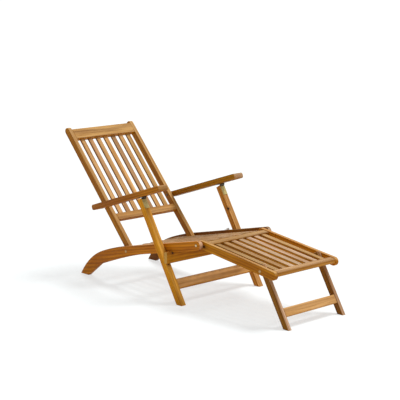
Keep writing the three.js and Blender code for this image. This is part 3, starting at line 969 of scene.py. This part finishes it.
def facing(direction: Vector, place: Vector, spin: float = 0.0) -> Matrix:
    """The place of a piece that was modelled facing +Z.

    Args:
        direction: Where it faces.
        place: Where its foot stands.
        spin: A turn about its own axis, in radians.

    Returns:
        The matrix.
    """
    turn = direction.normalized().to_track_quat("Z", "Y").to_matrix().to_4x4()
    return Matrix.Translation(place) @ turn @ Matrix.Rotation(spin, 4, "Z")


def middle(node: str) -> Vector:
    """The middle of a node's box."""
    low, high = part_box(node)
    return (Vector(low) + Vector(high)) / 2


# Small hardware


@dataclass(frozen=True)
class Screw:
    """A round-headed wood screw, of which the head shows, with a cross recess."""

    radius: float = 0.0032
    height: float = 0.0011
    rim_share: float = 0.28
    crown_share: float = 0.3
    recess_width: float = 0.0008
    recess_depth: float = 0.0007
    recess_share: float = 0.62
    facets: int = 24

    def model(self) -> bpy.types.Object:
        """Models the head about the origin, with its underside on the XY plane.

        Returns:
            The piece.
        """
        head = Bench.disc(self.facets, self.radius, self.height)
        Bench.pick(head, Element.FACE, lambda face: face.normal.z > FACING)
        bpy.ops.mesh.inset(thickness=self.radius * self.rim_share)
        bpy.ops.transform.translate(value=(0, 0, self.height * self.crown_share))
        for axis in ((1, 0, 0), (0, 1, 0)):
            for sign in (-1, 1):
                bpy.ops.mesh.select_all(action="SELECT")
                offset = Vector(axis) * sign * self.recess_width / 2
                bpy.ops.mesh.bisect(plane_co=offset, plane_no=axis)
        Bench.pick(head, Element.FACE, self._in_recess)
        bpy.ops.mesh.extrude_region_move(TRANSFORM_OT_translate={"value": (0, 0, -self.recess_depth)})
        bpy.ops.object.mode_set(mode="OBJECT")
        return head

    def _in_recess(self, face: bmesh.types.BMFace) -> bool:
        """Whether a face lies in the cross of the recess.

        Args:
            face: A face of the head.

        Returns:
            True if it does.
        """
        centre = face.calc_center_median()
        across = sorted((abs(centre.x), abs(centre.y)))
        in_cross = across[0] < self.recess_width / 2 and across[1] < self.radius * self.recess_share
        return face.normal.z > FACING and in_cross


@dataclass(frozen=True)
class Washer:
    """A flat ring round a bolt's head or nut."""

    hole: float = 0.0066
    radius: float = 0.0088
    thickness: float = 0.0009
    rounding_share: float = 0.3
    rounding_segments: int = 2
    facets: int = 40

    def model(self) -> bpy.types.Object:
        """Models the ring about the origin, lying on the XY plane.

        Returns:
            The piece.
        """
        ring = Bench.disc(self.facets, self.radius, self.thickness)
        Bench.pick(ring, Element.FACE, lambda face: abs(face.normal.z) > FACING)
        bpy.ops.mesh.inset(thickness=self.radius - self.hole)
        bpy.ops.mesh.delete(type="ONLY_FACE")
        bpy.ops.mesh.select_mode(type="EDGE")
        bpy.ops.mesh.select_all(action="DESELECT")
        bpy.ops.mesh.select_non_manifold()
        bpy.ops.mesh.bridge_edge_loops()
        bpy.ops.mesh.select_all(action="SELECT")
        bpy.ops.mesh.normals_make_consistent(inside=False)
        bpy.ops.object.mode_set(mode="OBJECT")
        rounding = ring.modifiers.new("rounding", "BEVEL")
        rounding.width = self.thickness * self.rounding_share
        rounding.segments = self.rounding_segments
        bpy.ops.object.modifier_apply(modifier=rounding.name)
        return ring


@dataclass(frozen=True)
class DriveSocket:
    """The six-sided drive socket in a bolt's head, as a dark lining of its walls and floor that paints the
    shade inside it.
    """

    radius: float = 0.0019
    rim: float = 0.0005
    depth: float = 0.0009
    floor_share: float = 0.7
    facets: int = 6

    def model(self) -> bpy.types.Object:
        """Models the lining about the origin, standing on the XY plane.

        Returns:
            The piece.
        """
        lining = Bench.disc(self.facets, self.radius + self.rim, self.depth)
        Bench.pick(lining, Element.FACE, lambda face: face.normal.z > FACING)
        bpy.ops.mesh.inset(thickness=self.rim)
        fall = (0, 0, -self.depth * self.floor_share)
        bpy.ops.mesh.extrude_region_move(TRANSFORM_OT_translate={"value": fall})
        bpy.ops.object.mode_set(mode="OBJECT")
        return lining


# Sub-assemblies


@dataclass
class Reshaped:
    """Boards whose form is finer than the frame's solids, each of which stands for its node."""

    arm_end_round: float = 0.0115
    arm_end_segments: int = 8
    arm_edge: float = 0.002
    arm_edge_segments: int = 3
    arm_length: float = 0.593
    arm_thickness: float = 0.031
    slat_count: int = 7
    slat_deepening: float = 0.006
    small_leg_cut: float = 0.009
    cut_bevel: float = 0.0015
    cut_segments: int = 2
    ear_start: float = 0.2632
    ear_slope: float = 0.0004
    ear_rise: float = 0.0055
    ear_depth: float = 0.005
    merge_distance: float = 0.00001
    boards: dict[str, bpy.types.Object] = field(default_factory=dict)

    def _stand_in(self, board: bpy.types.Object, node: str, body: str) -> None:
        """Lets a board stand for a node.

        Args:
            board: The board.
            node: The node.
            body: The body that carries both.
        """
        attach(board, body)
        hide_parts(node)
        self.boards[node] = board
        log.info("board %s stands for its node", board.name)

    def _edited(self, node: str) -> bpy.types.Object:
        """A merged copy of a node, in edit mode.

        Args:
            node: The node.

        Returns:
            The copy.
        """
        Bench.start()
        board = bpy.data.objects.new(f"{node}_finished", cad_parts[node].data.copy())
        bpy.context.collection.objects.link(board)
        board.select_set(True)
        bpy.context.view_layer.objects.active = board
        bpy.ops.object.mode_set(mode="EDIT")
        bpy.ops.mesh.select_all(action="SELECT")
        bpy.ops.mesh.remove_doubles(threshold=self.merge_distance)
        return board

    @staticmethod
    def _close() -> None:
        """Leaves edit mode and smooths the board's small bevels."""
        bpy.ops.object.mode_set(mode="OBJECT")
        bpy.ops.object.shade_smooth_by_angle(angle=SMOOTH_ANGLE)

    def arms(self) -> None:
        """The arms, with both ends rounded in side view and their edges eased."""
        for side in Side:
            node = f"arm_{side.word}"
            low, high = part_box(node)
            board = self._rounded_board(f"{node}_finished", high[0] - low[0], middle(node))
            self._stand_in(board, node, f"{node}_body")

    def _rounded_board(self, name: str, width: float, centre: Vector) -> bpy.types.Object:
        """An arm: a board whose ends are rounded in side view, turned as the arm lies.

        Args:
            name: Its name.
            width: Its width across the chair.
            centre: Its middle.

        Returns:
            The board.
        """
        Bench.start()
        bpy.ops.mesh.primitive_cube_add(size=1.0)
        board = bpy.context.object
        board.scale = (width, self.arm_length, self.arm_thickness)
        bpy.ops.object.transform_apply(location=False, rotation=False, scale=True)
        bpy.ops.object.mode_set(mode="EDIT")
        rim = width / 2 - self.merge_distance

        def runs_across(edge: bmesh.types.BMEdge) -> bool:
            """Whether an edge runs from one side of the arm to the other."""
            first, second = edge.verts
            return abs(first.co.x - second.co.x) > rim

        def bounds_side(edge: bmesh.types.BMEdge) -> bool:
            """Whether an edge bounds one of the arm's two sides."""
            return abs(edge.verts[0].co.x) > rim and not runs_across(edge)

        Bench.pick(board, Element.EDGE, runs_across)
        bpy.ops.mesh.bevel(offset=self.arm_end_round, segments=self.arm_end_segments, affect="EDGES")
        Bench.pick(board, Element.EDGE, bounds_side)
        bpy.ops.mesh.bevel(offset=self.arm_edge, segments=self.arm_edge_segments, affect="EDGES")
        bpy.ops.object.mode_set(mode="OBJECT")
        turn = Matrix.Rotation(math.radians(ARM_RUN), 4, "X")
        return Bench.place(board, name, Matrix.Translation(centre) @ turn)

    def footrest_slats(self) -> None:
        """The footrest's slats, deeper than the frame's, so that their sides close the view between them."""
        run = math.radians(FOOTREST_RUN)
        down = Vector((0, math.sin(run), -math.cos(run)))
        for i in range(self.slat_count):
            node = f"footrest_slat_{i + 1}"
            board = self._edited(node)
            depths = [corner.co.dot(down) for corner in bmesh.from_edit_mesh(board.data).verts]
            half = (min(depths) + max(depths)) / 2
            Bench.pick(board, Element.VERT, lambda corner: corner.co.dot(down) > half)
            bpy.ops.transform.translate(value=down * self.slat_deepening)
            self._close()
            self._stand_in(board, node, "footrest")

    def small_legs(self) -> None:
        """The footrest's legs, cut off level with the rails' upper edge."""
        run = math.radians(SMALL_LEG_RUN)
        up = Vector((0, math.cos(run), math.sin(run)))
        for side in Side:
            node = f"footrest_leg_{side.word}"
            board = self._edited(node)
            top = max(corner.co.dot(up) for corner in bmesh.from_edit_mesh(board.data).verts)
            plane = up * (top - self.small_leg_cut)
            bpy.ops.mesh.bisect(plane_co=plane, plane_no=up, use_fill=True, clear_outer=True)
            Bench.pick(board, Element.FACE, lambda face: face.normal.dot(up) > FACING)
            bpy.ops.mesh.bevel(offset=self.cut_bevel, segments=self.cut_segments, affect="EDGES")
            self._close()
            self._stand_in(board, node, "footrest_leg_frame")

    def crossbar(self) -> None:
        """The seat's crossbar, whose ends stand a little higher than where the rails rest on it."""
        node = "seat_crossbar"
        board = self._edited(node)
        for side in Side:
            for reach in (self.ear_start, self.ear_start + self.ear_slope):
                bpy.ops.mesh.select_all(action="SELECT")
                bpy.ops.mesh.bisect(plane_co=(side.value * reach, 0, 0), plane_no=(1, 0, 0))
        rim = self.ear_start + self.ear_slope / 2
        shoulder = max(corner.co.z for corner in bmesh.from_edit_mesh(board.data).verts) - self.ear_depth
        Bench.pick(board, Element.VERT, lambda corner: abs(corner.co.x) > rim and corner.co.z > shoulder)
        bpy.ops.transform.translate(value=(0, 0, self.ear_rise))
        self._close()
        self._stand_in(board, node, "leg_frame")

    def build(self) -> None:
        """Makes all of them."""
        self.arms()
        self.footrest_slats()
        self.small_legs()
        self.crossbar()


@dataclass
class Woodwork:
    """All the boards of the chair, each with its own finish.

    A slat's two numbers are how light and how rosy it is. Seeds place each board's figure apart.
    """

    groups: Groups
    reshaped: dict[str, bpy.types.Object]
    side_ring_pitch: float = 0.012
    cross_ring_pitch: float = 0.015
    slat_ring_pitch: float = 0.006
    right_seed: float = 10.0
    cross_seed: float = 20.0
    cross_seed_step: float = 1.3
    back_seed: float = 40.0
    deck_seed: float = 50.0
    footrest_seed: float = 60.0
    slat_seed_step: float = 1.7
    back_slats: tuple[Span, ...] = (
        (1.12, 0.0), (0.97, 0.4), (1.05, 0.0), (1.29, 0.0), (0.8, 0.4), (1.13, 0.0), (0.99, -0.3),
    )
    deck_slats: tuple[Span, ...] = (
        (1.02, 0.3), (0.93, 0.1), (1.05, 0.4), (0.98, 0.2), (1.03, 0.5), (0.94, 0.1), (1.0, 0.3),
    )
    footrest_slats: tuple[Span, ...] = (
        (0.66, -0.2), (0.72, 0.1), (1.02, 0.2), (0.93, 0.1), (1.03, 0.35), (1.03, 0.25), (0.77, -0.1),
    )
    golden_slats: tuple[int, ...] = (0, 1, 6)
    leg_knot: Knot = Knot((0.266, 0.0479, 0.3986), 0.0065)
    # A dark spot on the first footrest slat
    slat_knot: Knot = Knot((-0.181, -0.660, 0.283), 0.006)
    # Painted shadows on the crossbar's front, under the left seat rail: one in the hollow where the rail
    # rests, one cast by the rail
    crossbar_knots: tuple[Knot, ...] = (
        Knot((-0.2605, -0.0844, 0.2565), 0.0065),
        Knot((-0.2094, -0.0844, 0.2590), 0.0045),
    )
    # Painted shadow on the left front leg, just under the crossbar's lower edge
    housing_stain: Knot = Knot((-0.2823, -0.075, 0.1988), 0.005)
    # Painted shade in the gap between the left seat rail's nose and the footrest rail, on both boards
    corner_stain: Knot = Knot((-0.231, -0.290, 0.318), 0.007)

    def finishes(self) -> dict[str, WoodFinish]:
        """Chooses every board's finish.

        Returns:
            The finishes, by their nodes' names.
        """
        found = {**self._left_boards(), **self._right_boards(), **self._cross_boards()}
        decks = (
            ("back_slat", SANDED, self.back_slats, BACK_RUN, self.back_seed),
            ("seat_slat", DECK, self.deck_slats, SEAT_RUN, self.deck_seed),
            ("footrest_slat", WORN, self.footrest_slats, FOOTREST_RUN, self.footrest_seed),
        )
        for deck in decks:
            found.update(self._slats(*deck))
        return found

    def _side_finish(self, tone: WoodTone, run: float, seed: float, end: SawnEnd, *knots: Knot) -> WoodFinish:
        """The finish of a board that runs in side view.

        Args:
            tone: Its tone.
            run: Its angle.
            seed: Its seed.
            end: How its sawn ends look.
            knots: Its knots, dark spots and painted shadows.

        Returns:
            The finish.
        """
        return WoodFinish(tone, Grain.SIDE_VIEW, self.side_ring_pitch, seed, run, knots, end)

    def _left_boards(self) -> dict[str, WoodFinish]:
        """The boards on the left that run in side view.

        Returns:
            Their finishes, by name.
        """
        rail = RUSSET.tinted(light=1.2, rose=0.5)
        stile, arm, leg = AMBER.tinted(0.98), RUSSET.tinted(0.93), OCHRE.tinted(1.15)
        lift = GOLDEN.tinted(1.05)
        return {
            "seat_rail_left": self._side_finish(rail, SEAT_RUN, 0.0, BLEACHED_END, self.corner_stain),
            "back_stile_left": self._side_finish(stile, BACK_RUN, 1.0, PLAIN_END),
            "arm_left": self._side_finish(arm, ARM_RUN, 2.0, SHADED_END),
            "front_leg_left": self._side_finish(leg, LEG_RUN, 3.0, PLAIN_END, self.housing_stain),
            "footrest_rail_left": self._side_finish(lift, FOOTREST_RUN, 4.0, PLAIN_END, self.corner_stain),
            "footrest_leg_left": self._side_finish(ROSY, SMALL_LEG_RUN, 5.0, PLAIN_END),
        }

    def _right_boards(self) -> dict[str, WoodFinish]:
        """The boards on the right that run in side view.

        Returns:
            Their finishes, by name.
        """
        start = self.right_seed
        # The right seat rail's darker tone paints the shade that the seat casts on it
        rail, stile = RUSSET.tinted(0.58), AMBER.tinted(0.98)
        leg, lift = FAWN.tinted(1.15), GOLDEN.tinted(1.36)
        return {
            "seat_rail_right": self._side_finish(rail, SEAT_RUN, start, BLEACHED_END),
            "back_stile_right": self._side_finish(stile, BACK_RUN, start + 1.0, PLAIN_END),
            "arm_right": self._side_finish(UMBER, ARM_RUN, start + 2.0, SANDED_END),
            "front_leg_right": self._side_finish(leg, LEG_RUN, start + 3.0, PLAIN_END, self.leg_knot),
            "footrest_rail_right": self._side_finish(lift, FOOTREST_RUN, start + 4.0, PLAIN_END),
            "footrest_leg_right": self._side_finish(ROSY, SMALL_LEG_RUN, start + 5.0, PALE_END),
        }

    def _cross_boards(self) -> dict[str, WoodFinish]:
        """The boards that run across the chair.

        Returns:
            Their finishes, by name.
        """
        entries: tuple[tuple[str, WoodTone, SawnEnd, tuple[Knot, ...]], ...] = (
            ("back_top_rail", HONEY.tinted(0.92), PLAIN_END, ()),
            ("back_bottom_rail", HONEY.tinted(0.94, rose=0.2), PLAIN_END, ()),
            # The leg stretcher's lighter tone paints light that reaches it under the seat
            ("leg_stretcher", FAWN.tinted(1.1), PLAIN_END, ()),
            ("seat_crossbar", GOLDEN.tinted(1.14, rose=-0.3), GOLDEN_END, self.crossbar_knots),
            ("seat_batten_1", RUSSET, PLAIN_END, ()),
            ("seat_batten_2", RUSSET, PLAIN_END, ()),
            ("seat_batten_3", RUSSET, PLAIN_END, ()),
            ("footrest_inner_rail", GOLDEN.tinted(0.78, rose=0.1), PLAIN_END, ()),
            ("footrest_outer_rail", FAWN.tinted(0.9), PLAIN_END, ()),
            ("footrest_leg_stretcher", FAWN.tinted(1.02), PLAIN_END, ()),
        )
        found: dict[str, WoodFinish] = {}
        for i, (name, tone, end, knots) in enumerate(entries):
            seed = self.cross_seed + i * self.cross_seed_step
            found[name] = WoodFinish(tone, Grain.ACROSS, self.cross_ring_pitch, seed, knots=knots, end=end)
        return found

    def _slats(
        self, stem: str, wood: WoodTone, tints: tuple[Span, ...], run: float, start: float
    ) -> dict[str, WoodFinish]:
        """The slats of the back, the seat or the footrest.

        Args:
            stem: Their name without its number.
            wood: Their tone.
            tints: How light and how rosy each is.
            run: Their angle.
            start: The first one's seed.

        Returns:
            Their finishes, by name.
        """
        found: dict[str, WoodFinish] = {}
        for i, (light, rose) in enumerate(tints):
            in_footrest = stem == "footrest_slat"
            lot = GOLDEN_SLAT if in_footrest and i in self.golden_slats else wood
            knots = (self.slat_knot,) if in_footrest and i == 0 else ()
            seed = start + i * self.slat_seed_step
            tone = lot.tinted(light, rose)
            found[f"{stem}_{i + 1}"] = WoodFinish(
                tone, Grain.SIDE_VIEW, self.slat_ring_pitch, seed, run, knots
            )
        return found

    def dress(self) -> None:
        """Gives every board its material."""
        for name, finish in self.finishes().items():
            board = self.reshaped.get(name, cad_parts[name])
            Bench.coat(board, finish.build(name, self.groups))
            log.info("board %s dressed", name)


@dataclass(frozen=True)
class HingeLeaf:
    """One leaf of each hinge, in side view before it is tilted, with its screws.

    Each screw has its place across the leaf and its distance from the pin.
    """

    stem: str
    body: str
    tilt: float
    along: Triple
    faces: Triple
    screws: tuple[Span, ...]
    spin: float


LEG_LEAF = HingeLeaf(
    "leg_leaf", "leg_frame", tilt=-31.2, along=(0, 0, -1), faces=(0, -1, 0),
    screws=((-0.008, 0.016), (0.008, 0.033), (-0.008, 0.050)), spin=0.4,
)
ARM_LEAF = HingeLeaf(
    "arm_leaf", "arm_{side}_body", tilt=-18.1, along=(0, 1, 0), faces=(0, 0, -1),
    screws=((0.008, 0.012), (-0.008, 0.022), (0.008, 0.032)), spin=0.9,
)


@dataclass
class Fittings:
    """The metal nodes of the frame, and the small hardware that is added to them."""

    groups: Groups
    rail_outer: float = 0.260
    footrest_outer: float = 0.228
    leg_middle: float = 0.283
    hinge_pin: Triple = (0.0, 0.1165724, 0.5243976)
    leaf_face: float = 0.0025
    socket_sink: float = 0.0007
    socket_spin: float = math.radians(15)
    added: list[str] = field(default_factory=list)
    brass: bpy.types.Material = field(init=False)
    zinc: bpy.types.Material = field(init=False)
    dark: bpy.types.Material = field(init=False)

    def __post_init__(self) -> None:
        """Makes the metals that several fittings share."""
        self.brass = PALE_BRASS.build("screw_brass", self.groups)
        self.zinc = TAN_ZINC.build("bolt_zinc", self.groups)
        self.dark = DARK_STEEL_AND_SHADE.build("dark_steel", self.groups)

    def dress(self) -> None:
        """Gives every metal node its material."""
        finishes = {
            "hinge_leg_leaf": PALE_BRASS.build("hinge_brass", self.groups, Vector(self.hinge_pin)),
            # The arm's leaf is dark steel, and its darkness also paints the shade under the arm
            "hinge_arm_leaf": self.dark,
            "hinge_pin": self.zinc,
            "rail_keeper": PALE_ZINC.build("keeper_zinc", self.groups),
            "arm_bolt": self.dark,
            "back_bolt": self.zinc,
            "footrest_bolt": CREAM_ZINC.build("pivot_zinc", self.groups),
            "footrest_leg_bolt": self.zinc,
        }
        for stem, material in finishes.items():
            for side in Side:
                Bench.coat(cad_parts[f"{stem}_{side.word}"], material)
                log.info("metal %s_%s dressed", stem, side.word)

    def _add(self, piece: bpy.types.Object, body: str, material: bpy.types.Material) -> None:
        """Coats a piece and lets it ride.

        Args:
            piece: The piece.
            body: The body that carries it.
            material: Its material.
        """
        Bench.coat(piece, material)
        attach(piece, body)
        self.added.append(piece.name)
        log.info("fitting %s rides on %s", piece.name, body)

    def bolts(self) -> None:
        """Rings round the bolts' heads on the outside of the rails, with the sockets in the heads; the
        footrest pivot bolts' dark rings are painted shade of a recess.
        """
        plain = OLD_BRASS.build("washer_brass", self.groups)
        recess_shade = RECESS_SHADE_BROWN.build("washer_browned", self.groups)
        ring = Washer().model()
        lining = DriveSocket().model()
        bolts = (
            ("back_bolt", self.rail_outer, "seat_frame", plain),
            ("footrest_bolt", self.rail_outer, "seat_frame", recess_shade),
            ("footrest_leg_bolt", self.footrest_outer, "footrest", plain),
        )
        for stem, outer, body, metal in bolts:
            for side in Side:
                name = f"{stem}_{side.word}"
                out = Vector((side.value, 0, 0))
                seat = middle(name)
                seat.x = side.value * outer
                washer = Bench.place(Bench.copy(ring), f"{name}_washer", facing(out, seat))
                self._add(washer, body, metal)
                low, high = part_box(name)
                seat.x = (low[0] if side is Side.LEFT else high[0]) - side.value * self.socket_sink
                matrix = facing(out, seat, self.socket_spin)
                # The socket's dark lining paints the shade inside the bolt's head
                socket = Bench.place(Bench.copy(lining), f"{name}_socket", matrix)
                self._add(socket, body, self.dark)
        bpy.data.objects.remove(ring)
        bpy.data.objects.remove(lining)

    def hinge_screws(self) -> None:
        """Screws in the hinges' leaves: three in the leg's and three in the arm's."""
        pattern = Screw().model()
        for side in Side:
            # The arm leaf's screws share its dark steel and painted shade
            for leaf, metal in ((LEG_LEAF, self.brass), (ARM_LEAF, self.dark)):
                turn = Matrix.Rotation(math.radians(leaf.tilt), 3, "X")
                for i, (across, distance) in enumerate(leaf.screws):
                    off_pin = Vector(leaf.along) * distance - Vector(leaf.faces) * self.leaf_face
                    place = Vector(self.hinge_pin) + turn @ off_pin
                    place.x = side.value * self.leg_middle + across
                    matrix = facing(turn @ Vector(leaf.faces), place, leaf.spin + i)
                    name = f"{leaf.stem}_screw_{side.word}_{i + 1}"
                    screw = Bench.place(Bench.copy(pattern), name, matrix)
                    self._add(screw, leaf.body.format(side=side.word), metal)
        bpy.data.objects.remove(pattern)

    def build(self) -> None:
        """Dresses the nodes and adds the hardware."""
        self.dress()
        self.bolts()
        self.hinge_screws()
        log.info("%d fittings added", len(self.added))


# The picture


def direction_of(azimuth: float, elevation: float) -> Vector:
    """The direction towards a camera or lamp, by its azimuth from -Y and its elevation, in radians."""
    level = math.cos(elevation)
    return Vector((math.sin(azimuth) * level, -math.cos(azimuth) * level, math.sin(elevation)))


@dataclass
class Studio:
    """Floor, light and camera."""

    camera_place: Triple = (-4.32966, -4.73194, 1.73690)
    azimuth: float = -0.742111
    elevation: float = 0.192193
    lens: float = 110.23
    sensor_width: float = 36.0
    far_clip: float = 400.0
    key_strength: float = 2.65
    key_azimuth: float = math.radians(84)
    key_elevation: float = math.radians(64)
    key_angle: float = math.radians(22)
    fill_strength: float = 0.48
    fill_colour: Colour = (1.0, 0.985, 0.96)
    backdrop: Colour = (1.0, 1.0, 1.0)
    floor_half: float = 120.0
    floor_glow: float = 0.60
    floor_share: Colour = (0.378, 0.408, 0.416)
    floor_bounce: Colour = (0.72, 0.70, 0.67)

    def camera(self) -> None:
        """The camera at the photograph's viewing angle."""
        data = bpy.data.cameras.new("camera")
        data.lens = self.lens
        data.sensor_width = self.sensor_width
        data.clip_end = self.far_clip
        camera = bpy.data.objects.new("camera", data)
        camera.location = self.camera_place
        back = direction_of(self.azimuth, self.elevation)
        camera.rotation_euler = back.to_track_quat("Z", "Y").to_euler()
        bpy.context.collection.objects.link(camera)
        bpy.context.scene.camera = camera

    def floor(self) -> None:
        """A plain white floor that keeps the chair's shadow."""
        Bench.start()
        bpy.ops.mesh.primitive_plane_add(size=2 * self.floor_half)
        floor = bpy.context.object
        floor.name = "floor"
        material = bpy.data.materials.new("floor_white")
        material.use_nodes = True
        tree = material.node_tree
        tree.nodes.clear()
        kit = NodeKit(tree)
        glow = tree.nodes.new("ShaderNodeEmission")
        kit.link(self.floor_glow, glow.inputs["Strength"])
        seen = tree.nodes.new("ShaderNodeAddShader")
        kit.link(self._diffuse(kit, self.floor_share), seen.inputs[0])
        kit.link(glow.outputs[0], seen.inputs[1])
        choice = tree.nodes.new("ShaderNodeMixShader")
        shaders = (self._to_eye(kit), self._diffuse(kit, self.floor_bounce), seen.outputs[0])
        for shader, socket in zip(shaders, choice.inputs):
            kit.link(shader, socket)
        output = tree.nodes.new("ShaderNodeOutputMaterial")
        kit.link(choice.outputs[0], output.inputs["Surface"])
        Bench.coat(floor, material)

    @staticmethod
    def _diffuse(kit: NodeKit, colour: Colour) -> Outlet:
        """A plain matt shader.

        Args:
            kit: The material's node kit.
            colour: Its colour.

        Returns:
            The shader's output.
        """
        node = kit.tree.nodes.new("ShaderNodeBsdfDiffuse")
        kit.link(colour, node.inputs["Color"])
        return node.outputs[0]

    @staticmethod
    def _to_eye(kit: NodeKit) -> Outlet:
        """Whether a ray comes from the camera, straight or by a mirror or glass.

        Args:
            kit: The node kit of the floor or of the world.

        Returns:
            1 if it does, and otherwise 0.
        """
        path = kit.tree.nodes.new("ShaderNodeLightPath")
        direct = kit.math("MAXIMUM", path.outputs["Is Camera Ray"], path.outputs["Is Glossy Ray"])
        return kit.math("MAXIMUM", direct, path.outputs["Is Transmission Ray"])

    def key(self) -> None:
        """A soft key light from the right."""
        data = bpy.data.lights.new("key", "SUN")
        data.energy = self.key_strength
        data.angle = self.key_angle
        key = bpy.data.objects.new("key", data)
        source = direction_of(self.key_azimuth, self.key_elevation)
        key.rotation_euler = source.to_track_quat("Z", "Y").to_euler()
        bpy.context.collection.objects.link(key)

    def fill(self) -> None:
        """An even fill from all round, which the camera sees as plain white."""
        world = bpy.data.worlds.new("studio")
        world.use_nodes = True
        bpy.context.scene.world = world
        kit = NodeKit(world.node_tree)
        ground = world.node_tree.nodes["Background"]
        eye = self._to_eye(kit)
        kit.link(kit.mix(eye, self.fill_colour, self.backdrop), ground.inputs["Color"])
        rise = kit.math("MULTIPLY", eye, 1.0 - self.fill_strength)
        kit.link(kit.math("ADD", rise, self.fill_strength), ground.inputs["Strength"])

    def build(self) -> None:
        """Sets the whole picture up."""
        self.camera()
        self.floor()
        self.key()
        self.fill()
        bpy.context.scene.view_settings.view_transform = "Standard"
        log.info("floor, light and camera set")


def plain(bounds: tuple) -> list[list[float]]:
    """A box as plain lists of numbers."""
    return [[float(value) for value in corner] for corner in bounds]


def main() -> None:
    """Builds the picture, the woodwork and the fittings in order."""
    logging.basicConfig(level=logging.INFO, format="%(name)s: %(message)s")
    Studio().build()
    groups = Groups()
    reshaped = Reshaped()
    reshaped.build()
    Woodwork(groups, reshaped.boards).dress()
    Fittings(groups).build()


if __name__ == "__main__":
    main()
